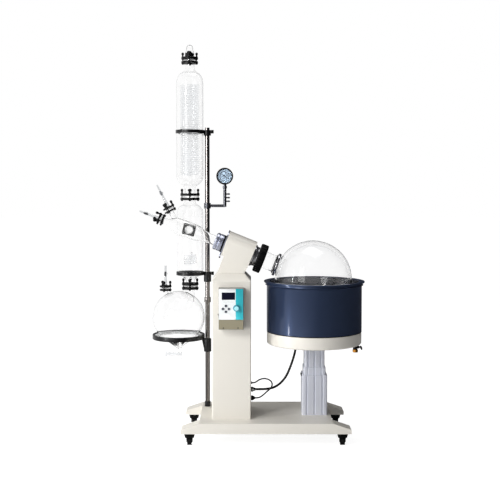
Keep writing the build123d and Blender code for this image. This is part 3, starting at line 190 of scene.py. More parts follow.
display_line = surface("display_line", srgb(178, 182, 184), 0.4, bump=0.05, vary=0.05)
seat_white = surface("seat_silicone", srgb(238, 240, 240), 0.45, bump=0.15, vary=0.02)
stem_glass = clear("stem_glass", (0.66, 0.67, 0.68), 1.4)
rod_steel = surface("rod_steel", srgb(122, 118, 116), 0.14, 1.0, bump=0.02, vary=0.03)
tap_clear = clear("tap_clear", (0.8, 0.81, 0.82), 1.2)
glass = clear("glass")
lens = clear("gauge_lens")
coil_glass = clear("coil_glass", (0.9, 0.91, 0.92), 1.16)

finishes = {
    "base_frame": cream, "column": cream, "head_housing": cream, "head_end_plate": alloy,
    "head_bearings": machined, "drive_motor": machined, "bearing_cap": chrome,
    "vapour_collar": alloy, "lift_outer": extruded, "lift_middle": extruded,
    "lift_inner": extruded, "support_rod": chrome, "ring_clamps": black_paint,
    "condenser": glass, "condenser_coils": glass, "lower_vessel": glass,
    "glass_flanges": black, "wing_nuts": black, "adapter": glass, "receiving_flask": glass,
    "support_ring": black_paint, "gauge_case": black_paint, "manifold": dark_steel,
    "control_box": box_grey, "control_panel": white_panel, "cable_plugs": black,
    "thick_cable": sheath, "thin_cable": sheath, "evaporating_flask": glass,
    "flask_ring": chrome, "clamp_ring": black, "vapour_shaft": machined,
    "motor_pinion": machined, "bath_pot": navy, "bath_liner": polished, "bath_heater": steel,
    "bath_base": cream, "bath_valve": brass, "drain_lever": black_paint,
    "feed_valve_key": key_grey, "end_valve_key": key_plastic,
    "vent_valve_key": key_plastic,
    "receiver_drain_key": tap_clear, "upper_clamp_knob": black, "lower_clamp_knob": black,
    "gauge_needle": ink, "speed_knob": knob_rim, "power_switch": black,
}
for name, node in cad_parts.items():
    if name.startswith("button_"):
        material = button_dark
    elif name.startswith("caster_wheel"):
        material = rubber
    elif name.startswith("caster_fork"):
        material = black
    else:
        material = finishes[name]
    node.data.materials.clear()
    node.data.materials.append(material)


# Building pieces
def add_mesh(name, points, faces, material, body, sharp=32):
    """A mesh piece from points in millimetres, smooth apart from its sharp edges."""
    mesh = bpy.data.meshes.new(name)
    mesh.from_pydata([tuple(v * MM for v in p) for p in points], [], faces)
    mesh.validate()
    mesh.shade_smooth()
    mesh.set_sharp_from_angle(angle=radians(sharp))
    mesh.materials.append(material)
    piece = bpy.data.objects.new(name, mesh)
    scene.collection.objects.link(piece)
    if body:
        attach(piece, body)
    return piece


def soften(outline, radius, steps=4, closed=False):
    """An outline of points with its corners rounded, each as far as its runs allow."""
    count = len(outline)
    result = []
    for i, corner in enumerate(outline):
        if not closed and i in (0, count - 1):
            result.append(corner)
            continue
        c = Vector(corner)
        before = Vector(outline[i - 1]) - c
        after = Vector(outline[(i + 1) % count]) - c
        reach = min(radius, before.length * 0.48, after.length * 0.48)
        a = c + before.normalized() * reach
        b = c + after.normalized() * reach
        for k in range(steps + 1):
            t = k / steps
            result.append(tuple(a * (1 - t) ** 2 + c * 2 * t * (1 - t) + b * t * t))
    return result


def lathe(name, outline, origin, along, material, body="frame", replaces=(), segments=96,
          sharp=32, closed=True):
    """A turned piece from an outline of (along, radius) points about an axis."""
    along = Vector(along).normalized()
    across = Vector((0, 1, 0)) if abs(along.y) < 0.9 else Vector((1, 0, 0))
    side = along.cross(across).normalized()
    across = side.cross(along).normalized()
    points, rings = [], []
    for a, r in outline:
        centre = Vector(origin) + along * a
        if r < 0.01:
            points.append(centre)
            rings.append([len(points) - 1] * segments)
        else:
            first = len(points)
            for k in range(segments):
                turn = 2 * pi * k / segments
                points.append(centre + r * (cos(turn) * across + sin(turn) * side))
            rings.append(list(range(first, first + segments)))
    faces = []
    pairs = list(zip(rings, rings[1:]))
    if closed:
        pairs.append((rings[-1], rings[0]))
    for one, two in pairs:
        if one[0] == one[1] and two[0] == two[1]:
            continue
        for k in range(segments):
            n = (k + 1) % segments
            face = [one[k], one[n], two[n], two[k]]
            face = [v for i, v in enumerate(face) if v not in face[:i]]
            if len(face) > 2:
                faces.append(face)
    piece = add_mesh(name, points, faces, material, body, sharp)
    fix = bmesh.new()
    fix.from_mesh(piece.data)
    bmesh.ops.recalc_face_normals(fix, faces=fix.faces)
    fix.to_mesh(piece.data)
    fix.free()
    if replaces:
        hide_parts(*replaces)
    return piece


def carve(piece, joined=(), cut=(), sharp=35):
    """Joins pieces to one piece and cuts others from it, and removes them."""
    for operands, how in ((joined, "UNION"), (cut, "DIFFERENCE")):
        for other in operands:
            modifier = piece.modifiers.new("carve", "BOOLEAN")
            modifier.operation = how
            modifier.solver = "EXACT"
            modifier.object = other
    bpy.context.view_layer.update()
    shape = bpy.data.meshes.new_from_object(
        piece.evaluated_get(bpy.context.evaluated_depsgraph_get())
    )
    piece.modifiers.clear()
    piece.data = shape
    shape.shade_smooth()
    shape.set_sharp_from_angle(angle=radians(sharp))
    for other in (*joined, *cut):
        bpy.data.objects.remove(other)
    return piece


def slab(name, corners, origin, x_dir, y_dir, thickness, material, body="frame", bevel=0.0):
    """A plate from 2-D corners on a plane, thickened along the plane's normal."""
    x_dir, y_dir = Vector(x_dir).normalized(), Vector(y_dir).normalized()
    normal = x_dir.cross(y_dir)
    base = [Vector(origin) + x_dir * x + y_dir * y for x, y in corners]
    top = [p + normal * thickness for p in base]
    count = len(base)
    faces = [list(range(count))[::-1], list(range(count, 2 * count))]
    faces += [[i, (i + 1) % count, (i + 1) % count + count, i + count] for i in range(count)]
    piece = add_mesh(name, base + top, faces, material, body)
    if bevel:
        round_edges(piece, bevel)
    return piece


def round_edges(piece, width):
    """Bevels the sharp edges of a piece."""
    modifier = piece.modifiers.new("edges", "BEVEL")
    modifier.width = width * MM
    modifier.segments = 2
    modifier.limit_method = "ANGLE"
    modifier.angle_limit = radians(30)
    modifier.harden_normals = True


def rectangle(left, bottom, right, top, radius=0.0):
    """The corners of a rectangle, rounded when it has a radius."""
    corners = [(left, bottom), (right, bottom), (right, top), (left, top)]
    return soften(corners, radius, 5, closed=True) if radius else corners


def tube(name, points, radius, material, body="frame", closed=False):
    """A round rod or wire along a smooth line through points in millimetres."""
    curve = bpy.data.curves.new(name, "CURVE")
    curve.dimensions = "3D"
    curve.bevel_depth = radius * MM
    curve.bevel_resolution = 4
    curve.use_fill_caps = True
    spline = curve.splines.new("NURBS")
    spline.points.add(len(points) - 1)
    for point, place in zip(spline.points, points):
        point.co = (*(v * MM for v in place), 1)
    spline.order_u = 3
    spline.use_endpoint_u = not closed
    spline.use_cyclic_u = closed
    curve.materials.append(material)
    piece = bpy.data.objects.new(name, curve)
    scene.collection.objects.link(piece)
    if body:
        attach(piece, body)
    return piece


# Cables: the bath's cable runs from the bath's gland to the column, and the thin one is a loop on
# the column
THICK = [
    (266, 0, 554), (266, 0, 525), (253, 0, 474), (234.5, 0, 420), (213, 0, 368),
    (185.6, 0, 330), (153, 0, 302.5), (122.7, 0, 289), (90.4, 0, 283.6), (55, 0, 282),
    (21, 0, 282),
]
THIN = [
    (4, -16, 325), (19, -16, 325), (40, -16, 342), (70, -16, 352.5), (100, -16, 347),
    (119, -16, 332), (124.5, -16, 312), (115, -16, 292), (90.4, -16, 270), (64, -16, 246),
    (42, -16, 232), (21, -16, 232),
]
thin = tube("thin_cord", THIN, 4.25, sheath)
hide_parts("thin_cable")
line = tube("thick_line", THICK, 0, sheath, body=None)
line.data.use_fill_caps = False
line.data.splines[0].resolution_u = 8
bpy.context.view_layer.update()
traced = bpy.data.meshes.new_from_object(line)
line.data.bevel_depth = 0.007
line.data.use_fill_caps = True
bpy.context.view_layer.update()
thick_mesh = bpy.data.meshes.new_from_object(line)
thick_mesh.shade_smooth()
thick = bpy.data.objects.new("thick_cord", thick_mesh)
scene.collection.objects.link(thick)
bpy.data.objects.remove(line)
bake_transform(thick)
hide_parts("thick_cable")

# Evaporating flask: one outline, out along the ball and neck and back inside
BALL, WALL, MOUTH, STEPS = 234, 5, -352.7, 40
outer = [(BALL * cos(a), BALL * sin(a))
         for a in (i * (pi - 0.226) / STEPS for i in range(STEPS + 1))]
inner = [((BALL - WALL) * cos(a), (BALL - WALL) * sin(a))
         for a in (i * (pi - 0.206) / STEPS for i in range(STEPS + 1))]
neck = [(-233, 52), (-339.7, 52), (-340.5, 61), (-342, 62), (-350.5, 62), (MOUTH, 60),
        (MOUTH, 47), (-232, 47)]
lathe("flask_glass", outer + neck + inner[::-1], FLASK, ALONG, glass, "rotor",
      ["evaporating_flask"], 128, closed=False, sharp=60)


def vessel(name, side, origin, along, round_by):
    """The outer and inner solids of a blown body from its side line."""
    wall = 4
    smooth = soften(side, round_by, 6)
    (low, low_r), (high, high_r) = smooth[0], smooth[-1]
    hollow = []
    for (a, b), (c, d) in zip(smooth, smooth[1:]):
        length = sqrt((c - a) ** 2 + (d - b) ** 2)
        hollow.append((a + wall * (d - b) / length, b - wall * (c - a) / length))
    hollow[0] = (low - 2, low_r - wall)
    hollow.append((high + 2, high_r - wall))
    outside = lathe(name, [(low, 0), *smooth, (high, 0)], origin, along, glass, closed=False)
    inside = lathe(name + "_in", [(low - 2, 0), *hollow, (high + 2, 0)], origin, along, glass,
                   None, closed=False)
    return outside, inside


def post(origin, along, start, end, radius, segments=48):
    """A plain cylinder that is joined to a piece or cut from one."""
    return lathe("post", [(start, 0), (start, radius), (end, radius), (end, 0)], origin, along,
                 glass, None, closed=False, segments=segments)


# Condenser with its hose tails, and the cap above it
side = [(1459.8, 34), (1522, 34), (1538, 62), (1566, 83), (2174, 83), (2212, 70), (2236, 29),
        (2296.2, 29)]
body, bore = vessel("condenser_glass", side, TOWER, UP, round_by=20)
tails = [post(TOWER + UP * z, BACK, 80, 123, 8, 32) for z in MAIN_TAILS]
tails += [post(TOWER + UP * z, BACK, 80, 86, 12, 32) for z in MAIN_TAILS]
tail_bores = [post(TOWER + UP * z, BACK, 75, 124, 5, 32) for z in MAIN_TAILS]
lips = [post(TOWER, UP, 1456.2, 1459.8, 43, 64), post(TOWER, UP, 2296.2, 2299.8, 37, 64)]
lip_bores = [post(TOWER, UP, 1455, 1462, 30, 64), post(TOWER, UP, 2294, 2301, 25, 64)]
carve(body, [*lips, *tails], [bore, *tail_bores, *lip_bores])
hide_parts("condenser")
cap_line = [(2300.2, 25), (2300.2, 37), (2303.8, 37), (2303.8, 29), (2345, 29), (2364, 21),
            (2380, 20), (2391, 15), (2397, 0), (2393, 0), (2388, 12), (2378, 16), (2362, 17),
            (2343, 25)]
lathe("cap_glass", cap_line, TOWER, UP, glass, segments=64, closed=False, sharp=50)


# Coils of glass tube inside
def coil(name, low, high, radius, turns, wall_at):
    """A wound tube whose ends run back to the vessel's wall."""
    points = [TOWER + Vector((0, wall_at, low)), TOWER + Vector((0, radius + 4, low))]
    per_turn = 12
    count = turns * per_turn
    for k in range(1, count):
        angle = pi / 2 + 2 * pi * k / per_turn
        points.append(TOWER + Vector((radius * cos(angle), radius * sin(angle),
                                      low + (high - low) * k / count)))
    points += [TOWER + Vector((0, radius + 4, high)), TOWER + Vector((0, wall_at, high))]
    line = tube(name + "_line", points, 4, coil_glass, body=None)
    line.data.bevel_resolution = 2
    line.data.splines[0].resolution_u = 3
    bpy.context.view_layer.update()
    shape = bpy.data.meshes.new_from_object(line)
    shape.shade_smooth()
    bpy.data.objects.remove(line)
    piece = bpy.data.objects.new(name, shape)
    scene.collection.objects.link(piece)
    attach(piece, "frame")
    return piece


main_coil = coil("main_coil", *MAIN_TAILS, 58, 44, 78)
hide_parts("condenser_coils")
coil("low_coil", *LOW_TAILS, 38, 5, 76)

# Lower vessel with its side port
side = [(901.8, 29), (945, 29), (961, 60), (989, 81.5), (1371, 81.5), (1397, 64), (1413, 34),
        (1452.2, 34)]
body, bore = vessel("vessel_glass", side, TOWER, UP, round_by=18)
carve(
    body,
    [
        post(TOWER, UP, 898.2, 901.8, 37, 64), post(TOWER, UP, 1452.2, 1455.8, 43, 64),
        post(PORT, BACK, 69.8, 100, 26, 64), post(PORT, BACK, 66.2, 69.8, 33, 64),
        *(post(TOWER + UP * z, BACK, 79, 121.5, 8, 32) for z in LOW_TAILS),
        *(post(TOWER + UP * z, BACK, 79, 84.5, 12, 32) for z in LOW_TAILS),
    ],
    [
        bore, post(TOWER, UP, 897, 904, 25, 64), post(TOWER, UP, 1450, 1457, 30, 64),
        post(PORT, BACK, 65, 106, 22, 64),
        *(post(TOWER + UP * z, BACK, 74, 122.5, 5, 32) for z in LOW_TAILS),
    ],
)
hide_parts("lower_vessel")

# Adapter: tilted body, feed branch, rear port
side = [(-990.2, 17), (-948, 17), (-916, 45), (-868, 51), (-768, 51), (-700, 31), (-610, 30)]
body, bore = vessel("adapter_glass", side, FLASK, ALONG, round_by=26)
carve(
    body,
    [
        post(FLASK, ALONG, -993.8, -990.2, 23, 64),
        post(FEED_ROOT, FEED, 0, 113.2, 17, 64), post(FEED_ROOT, FEED, 113.2, 116.8, 23, 64),
        post(PORT, BACK, 0, 62.2, 26, 64), post(PORT, BACK, 62.2, 65.8, 33, 64),
    ],
    [
        bore, post(FLASK, ALONG, -995, -988, 13, 64),
        post(FEED_ROOT, FEED, 10, 118, 13, 64), post(PORT, BACK, 10, 67, 22, 64),
    ],
)
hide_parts("adapter")


def valve_stem(name, origin, along, start, length, cock_at, taper):
    """A slim glass stem over a joint, with the cross barrel of its key."""
    stem = lathe(name, soften([(start, 0), (start, 23), (start + 3.7, 23), (start + 3.7, 12),
                               (start + 24, 9), (start + length, taper),
                               (start + length, 0)], 2, 3),
                 origin, along, stem_glass, closed=False, segments=48)
    middle = Vector(origin) + Vector(along).normalized() * (start + cock_at)
    carve(stem, [post(middle, BACK, -12, 12, 10, 32)], [post(middle, BACK, -13, 13, 5.1, 32)])
    return stem


valve_stem("feed_stem", FEED_ROOT, FEED, 117.2, 164.8, 108, 5)
valve_stem("end_stem", END_ROOT, -ALONG, 0.2, 137.8, 95, 6)
valve_stem("vent_stem", VENT, UP, 885.2, 139.8, 90, 7)


# Receiving flask: ball with a cone below, two necks and the drain tap's barrel
def pear(radius, point_at):
    """A ball's outline whose underside runs down to a point as a tangent cone."""
    steps = 36
    leaves = acos(radius / point_at)
    turns = [leaves + (pi - leaves) * k / steps for k in range(steps + 1)]
    return [(-point_at, 0)] + [(-radius * cos(a), max(0.0, radius * sin(a))) for a in turns]


body = lathe("receiver_glass", pear(163, 205), RECEIVER, UP, glass, closed=False, segments=128)
carve(
    body,
    [
        post(TOWER, UP, 800, 894.2, 29, 64), post(TOWER, UP, 894.2, 897.8, 37, 64),
        post(VENT, UP, 800, 881.2, 17, 64), post(VENT, UP, 881.2, 884.8, 23, 64),
        post(DRAIN, UP, 438, 600, 12, 48), post(TAP, LEFT, -14, 74, 14, 48),
    ],
    [
        lathe("hole", pear(158, 198.5), RECEIVER, UP, glass, None, closed=False, segments=128),
        post(TOWER, UP, 799, 899, 25, 64), post(VENT, UP, 799, 886, 13, 64),
        post(DRAIN, UP, 437, 600, 6, 32), post(TAP, LEFT, -15, 75, 7.1, 32),
    ],
)
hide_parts("receiving_flask")

# Bath: painted pot with its rolled rim, stainless liner and base ring
pot = [(645, 0), (645, 286), (647, 288.5), (918, 288.5), (923, 291)]
pot += [(935 + 12 * sin(a), 293.5 + 12 - 12 * cos(a))
        for a in (radians(v) for v in range(-50, 170, 20))]
pot += [(946, 290.5), (939, 290.5), (935, 285.5), (650, 285.5), (648, 284), (648, 0)]
pot = [(a, min(b, 305.5)) for a, b in pot]
lathe("pot", pot, BATH, UP, navy, "bath", ["bath_pot"], 160, closed=False, sharp=50)
liner = [(680, 0), (680, 266), (684, 271), (690, 272), (942, 272), (943, 290.2), (945, 290.2),
         (945.5, 270), (692, 270), (686, 269), (682, 264), (682, 0)]
lathe("liner", liner, BATH, UP, polished, "bath", ["bath_liner"], 160, closed=False)
lathe("rim_cap", soften([(945.1, 270.5), (946, 270.2), (946.9, 271), (946.9, 292), (945.1, 292)],
                        0.6, 2, closed=True), BATH, UP, navy, "bath", segments=160)
base_ring = soften([(568, 0), (568, 281), (574, 287), (642, 287), (644.9, 285), (644.9, 283),
                    (572, 283), (572, 0)], 3, 3)
lathe("base_ring", base_ring, BATH, UP, cream, "bath", ["bath_base"], 160, closed=False)
lathe("bath_gland", soften([(568, 0), (568, 13), (560, 13), (558, 11), (554, 11), (554, 0)],
                           1, 2)[::-1],
      GLAND, UP, black, "bath", segments=48, closed=False)
lathe("pot_seam", [(641.5, 286), (641.5, 288.4), (645, 288.4), (645, 286)], BATH, UP,
      black, "bath", segments=160)

# Drain under the base: black body and side stem over a brass nut
lathe("drain_body", soften([(527, 0), (527, 12), (530, 14.5), (550, 14.5), (556, 9),
                            (567.8, 9), (567.8, 0)], 1.5, 3), VALVE, UP,
      black_paint, "bath", ["bath_valve"], 48, closed=False)
lathe("drain_stem", soften([(8, 0), (8, 9), (22, 9), (24, 7.5), (24, 0)], 1, 2),
      VALVE + UP * 541, (1, 0, 0), black_paint, "bath", segments=32, closed=False)
lathe("drain_nut", [(509.4, 8.5), (509.4, 15.5), (511.5, 18), (524, 18), (526.8, 15.5),
                    (526.8, 8.5)], VALVE, UP, brass, "bath", segments=6, sharp=20)
lathe("drain_tube", [(509, 5), (509, 8.3), (530, 8.3), (530, 5)], VALVE, UP, brass,
      "bath", segments=32)

# Heating element: a ring of steel tube on clips
HEATER_R = 245
heater = [BATH + Vector((HEATER_R * cos(a), HEATER_R * sin(a), 716))
          for a in (2 * pi * k / 24 for k in range(24))]
ring_tube = tube("heater_tube", heater, 7, steel, "bath", closed=True)
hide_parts("bath_heater")
for k in range(4):
    angle = radians(45 + 90 * k)
    foot = BATH + Vector((HEATER_R * cos(angle), HEATER_R * sin(angle), 682.2))
    slab(f"heater_clip_{k}", rectangle(-5, -5, 5, 5), foot, (1, 0, 0), (0, 1, 0), 28, steel,
         "bath", 0.6)

# Support rod with its coupling and dark foot
lathe("rod", soften([(140.3, 0), (140.3, 14.5), (796, 14.5), (797, 20.5), (827, 20.5), (828, 14.5),
                     (1885, 14.5), (1885, 0)], 0.8, 2), ROD, UP, rod_steel,
      replaces=["support_rod"], segments=64, closed=False)
lathe("rod_foot", soften([(140.3, 14.7), (140.3, 19), (172, 18), (174, 14.7)], 1.5, 3, True), ROD,
      UP, black_paint, segments=64)

# Casters: a hood over each wheel
for corner in ("front_left", "rear_left", "front_right", "rear_right"):
    low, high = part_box(f"caster_fork_{corner}")
    spot = Vector(((low[0] + high[0]) / 2, (low[1] + high[1]) / 2, 0)) / MM
    hood = lathe(f"hood_{corner}", [(46, 24.5), (46, 27), (60, 30.2), (74, 31.5), (78.4, 31.3),
                                    (78.4, 30.1), (74, 30.1), (62, 27.5)], spot, UP, black,
                 f"swivel_{corner}", segments=64)
    for vertex in hood.data.vertices:       # leans back over the trailing wheel
        vertex.co.y += max(0, 0.074 - vertex.co.z) * 0.28

# Head: chrome cap, collar, clamp ring and flask ring
cap = soften([(-396.9, 40.5), (-396.9, 67.5), (-388, 67.5), (-385, 61.5), (-370, 59.5),
              (-365, 65.5), (-360, 65.5), (-360, 40.5)], 1.5, 3, closed=True)
lathe("front_cap", cap, FLASK, ALONG, chrome, "frame", ["bearing_cap"])
collar = soften([(-642, 30.5), (-642, 46.5), (-636, 52.5), (-622, 52.5), (-619, 49.5),
                 (-616, 52.5), (-594, 52.5), (-594, 48), (-583.1, 48), (-583.1, 40.5),
                 (-600, 40.5), (-600, 30.5)], 1.2, 3, closed=True)
lathe("rear_collar", collar, FLASK, ALONG, alloy, "frame", ["vapour_collar"])
lathe("collar_seal", [(-593.9, 49), (-593.9, 52.9), (-583.2, 52.9), (-583.2, 49)], FLASK,
      ALONG, black, "frame")
grip = lathe("neck_grip", soften([(-366, 68.2), (-366, 85), (-361, 88.5), (-324, 88.5),
                                  (-321, 85), (-321, 53.2), (-338, 53.2), (-338, 63.4),
                                  (-357, 63.4), (-357, 68.2)], 2, 3, closed=True),
             FLASK, ALONG, black, "rotor", ["clamp_ring"], 240)
for vertex in grip.data.vertices:           # 24 flutes across the rim
    arm = vertex.co / MM - FLASK
    arm -= ALONG * arm.dot(ALONG)
    if arm.length > 80:
        turned = 24 * acos(max(-1, min(1, arm.normalized().y)))
        vertex.co -= arm.normalized() * 4.5 * MM * max(0, min(1, 2.4 * (cos(turned) - 0.35)))
lathe("neck_ring", soften([(-250, 52.3), (-250, 63), (-246, 70), (-234, 70), (-231, 67),
                           (-231, 52.3)], 2, 3, closed=True), FLASK, ALONG, chrome, "rotor",
      ["flask_ring"])
lathe("neck_gasket", [(-253, 52.4), (-253, 60), (-250, 60), (-250, 52.4)], FLASK, ALONG,
      black, "rotor")

# Support ring: black ring with a pale inner seat, on an arm from a boss on the rod
lathe("holder_ring", soften([(569, 150), (569, 163.5), (597, 163.5), (597, 150)], 3, 3, True),
      HOLDER, UP, black_paint, replaces=["support_ring"], segments=128)
lathe("holder_seat", soften([(571, 134), (571, 149.8), (592, 149.8), (592, 143), (588, 120),
                             (584, 118)], 2, 3, True), HOLDER, UP, seat_white, segments=128)
lathe("holder_boss", soften([(487, 14.8), (487, 23), (568, 23), (568, 14.8)], 2, 3, True), ROD,
      UP, black_paint, segments=64)
slab("holder_arm", [(-315, 570), (-298, 493), (-290, 493), (-290, 533), (-299, 580),
                    (-315, 580)], (0, 174, 0), (1, 0, 0), (0, 0, 1), 28, black_paint, bevel=2)

# Joint hardware: a pair of clamp rings at each joint, drawn up by studs with wing nuts
def wing_nut(name, foot, along, outward):
    """A waisted nut with a round flattened top, broad across and thin outward."""
    across = Vector(outward).cross(along).normalized()
    nut = lathe(name, soften([(-0.4, 0), (-0.4, 7.5), (3, 7), (5, 5), (9, 5), (14, 8.4),
                              (20, 9.4), (25, 8), (28, 4), (28.6, 0)], 2.5, 3),
                foot, along, black, closed=False, segments=32)
    for vertex in nut.data.vertices:
        arm = vertex.co / MM - foot
        high = arm.dot(along)
        wide = min(0.6, max(0, (high - 5) / 8))
        vertex.co = (foot + along * high + outward * arm.dot(outward) * (1 - 0.2 * wide)
                     + across * arm.dot(across) * (1 + 0.2 * wide)) * MM
    return nut


def clamped_joint(name, origin, along, at, radius, thick, circle, neck, count):
    """Two rings about a joint, with studs on a circle around its neck."""
    gap = 6                         # from the joint's plane to each ring
    head = -2 * thick - 17.5        # where the studs' heads end
    along = Vector(along).normalized()
    for side in (-1, 1):
        near = at + side * gap
        far = near + side * thick
        low, high = min(near, far), max(near, far)
        lathe(f"{name}_ring_{'low' if side < 0 else 'high'}",
              soften([(low, neck + 0.6), (low, radius), (high, radius), (high, neck + 0.6)],
                     2.4, 3, closed=True), origin, along, black, segments=72)
    first = Vector((0, 1, 0))
    second = along.cross(first).normalized()
    for k in range(count):
        angle = (pi / 4 if count == 3 else 0) + 2 * pi * k / count
        outward = first * cos(angle) + second * sin(angle)
        foot = Vector(origin) + along * (at + gap + thick) + outward * circle
        wing_nut(f"{name}_nut_{k}", foot + along * 0.5, along, outward)
        lathe(f"{name}_stud_{k}", soften([(head, 0), (head, 6), (head + 5.3, 6),
                                          (head + 5.3, 3.4), (13, 3.4), (13, 0)], 0.8, 2),
              foot, along, black, segments=24, closed=False)


JOINTS = (
    ("cap_joint", TOWER, UP, 2300, 52, 14, 43, 29, 4),
    ("tower_joint", TOWER, UP, 1456, 60, 15, 50, 34, 4),
    ("receiver_joint", TOWER, UP, 898, 52, 14, 43, 29, 4),
    ("feed_joint", FEED_ROOT, FEED, 117, 37, 10, 29, 17, 3),
    ("end_joint", END_ROOT, -ALONG, 0, 37, 10, 29, 17, 3),
    ("vent_joint", VENT, UP, 885, 37, 10, 29, 17, 3),
)
for joint in JOINTS:
    clamped_joint(*joint)
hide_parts("glass_flanges")
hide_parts("wing_nuts")

# The square flange at the adapter's rear port, with four plain bolts
SLANT = radians(14)
for k, start in enumerate((56.1, 69.9)):
    corners = soften([(-39, -39), (39, -39), (39, 39), (-39, 39)], 9, 5, closed=True)
    plate = slab(f"square_flange_{k}", corners, PORT + BACK * (start + 6),
                 (cos(SLANT), 0, -sin(SLANT)), (sin(SLANT), 0, cos(SLANT)), 6, black, bevel=0.8)
    carve(plate, (), [post(PORT, BACK, start - 2, start + 8, 26.4, 64)])
for k in range(4):
    angle = radians(45 + 90 * k) - SLANT
    spot = PORT + 44 * Vector((cos(angle), 0, sin(angle)))
    lathe(f"square_bolt_{k}", soften([(51, 0), (51, 6.4), (56, 6.4), (56, 3.4), (79, 3.4),
                                      (79, 0)], 0.6, 2), spot, BACK, black, segments=6,
          closed=False, sharp=20)


# Lift: three extrusions with slots down each face, and a black wiper on the lowest
def extrusion(name, width, low, high, body, node, wall, slot=8, depth=6):
    """A square aluminium profile in plan, with three slots on each face, made hollow."""
    half, corner, lip = width / 2, 8, 2.6
    face = [(-half + corner, -half)]
    for middle in (-0.31 * width, 0, 0.31 * width):
        face += [(middle - slot / 2 - lip, -half), (middle - slot / 2, -half + lip),
                 (middle - slot / 2, -half + depth), (middle + slot / 2, -half + depth),
                 (middle + slot / 2, -half + lip), (middle + slot / 2 + lip, -half)]
    face += [(half - corner, -half)]
    face += [(half - corner + corner * sin(a), -half + corner - corner * cos(a))
             for a in (radians(18 * k) for k in range(1, 5))]
    outline = []
    for quarter in range(4):
        c, d = round(cos(quarter * pi / 2)), round(sin(quarter * pi / 2))
        outline += [(x * c - y * d, x * d + y * c) for x, y in face]
    piece = slab(name, outline, BATH + UP * low, (1, 0, 0), (0, 1, 0), high - low, extruded,
                 body)
    core = slab("core", rectangle(-half + wall, -half + wall, half - wall, half - wall),
                BATH + UP * (low - 1), (1, 0, 0), (0, 1, 0), high - low + 2, extruded, None)
    carve(piece, (), [core], sharp=20)
    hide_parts(node)


extrusion("lift_case", 152, 140.2, 382, "frame", "lift_outer", 8.4)
extrusion("lift_sleeve", 133.4, 190, 429, "lift_stage", "lift_middle", 5.6, 7, 3.6)
extrusion("lift_column", 121.4, 330, 567.8, "bath", "lift_inner", 8.5)
slab("case_wiper", [(302, 366), (297, 368), (295, 381), (302, 381)],
     Vector((0, 20, 0)), (1, 0, 0), (0, 0, 1), 40, black, "frame", 0.8)

# Drip spout under the rear collar
spout = [FLASK + ALONG * a + (UP * cos(TILT) + Vector((sin(TILT), 0, 0))) * b
         for a, b in ((-583.5, -54), (-586, -55), (-588, -60))]
spout += [spout[-1] - UP * 14, spout[-1] - UP * 30]
tube("drip_spout", spout, 3.6, alloy)
lathe("spout_tip", soften([(0, 3.7), (0, 5), (9, 5), (9, 3.7)], 0.8, 2, closed=True),
      spout[-1] - UP * 0.5, UP, black, segments=32)

# Gauge: case, lens, dial with its scale and numbers
lathe("gauge_body", soften([(0, 0), (0, 46), (3, 47.5), (27, 49.5), (27, 52.5), (36, 52.5),
                            (36, 45), (32, 43.5), (20, 43.5), (20, 0)], 1.2, 3),
      GAUGE, FRONT, black_paint, replaces=["gauge_case"], closed=False)
lathe("gauge_dial", [(20.1, 1.6), (20.1, 43.3), (22, 43.3), (22, 1.6)], GAUGE, FRONT,
      dial_blue)
lathe("gauge_glass", [(29, 0), (29, 43.4), (31, 43.4), (31, 0)], GAUGE, FRONT, lens,
      closed=False)
DIAL_FACE = GAUGE + FRONT * 22
SCALE_END = -34                     # the scale sweeps 270 degrees up from here
for k in range(28):
    angle = radians(SCALE_END + 10 * k)
    out = Vector((cos(angle), 0, sin(angle)))
    length = 7 if k % 3 == 0 else 4
    slab(f"tick_{k}", rectangle(41 - length, -0.5, 41, 0.5), DIAL_FACE, out,
         out.cross(FRONT) * -1, 0.25, ink)
arc = []
for radius in (30.5, 27.5):
    span = [(radius * cos(a), radius * sin(a))
            for a in (radians(SCALE_END + 6 * k) for k in range(46))]
    arc += span if radius == 30.5 else span[::-1]
slab("dial_arc", arc, DIAL_FACE, (1, 0, 0), (0, 0, 1), 0.2, ink)
for k in range(6):
    angle = radians(236 - 54 * k)
    text = bpy.data.curves.new(f"dial_number_{k}", "FONT")
    text.body = str(20 * k)
    text.size = 0.0085
    text.align_x = "CENTER"
    text.align_y = "CENTER"
    text.extrude = 0.0001
    text.materials.append(ink)
    number = bpy.data.objects.new(f"dial_number_{k}", text)
    scene.collection.objects.link(number)
    number.location = (GAUGE + FRONT * 22.2 + 21 * Vector((cos(angle), 0, sin(angle)))) * MM
    number.rotation_euler = (pi / 2, 0, 0)
    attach(number, "frame")

# Control panel: white and teal face, display, lower cover with two screws
PANEL_Y, PANEL_DEPTH = -246.2, 3.9
WHITE_END = -95.5                   # where the white face meets the teal one
KNOB = Vector((-91.4, 0, 811.5))
FRONT_X, FRONT_Z = (1, 0, 0), (0, 0, 1)


def panel(name, corners, material, depth=PANEL_DEPTH, start=0.0, bevel=0.4):
    """A plate on the control box's front."""
    return slab(name, corners, (0, PANEL_Y - start, 0), FRONT_X, FRONT_Z, depth, material,
                bevel=bevel)


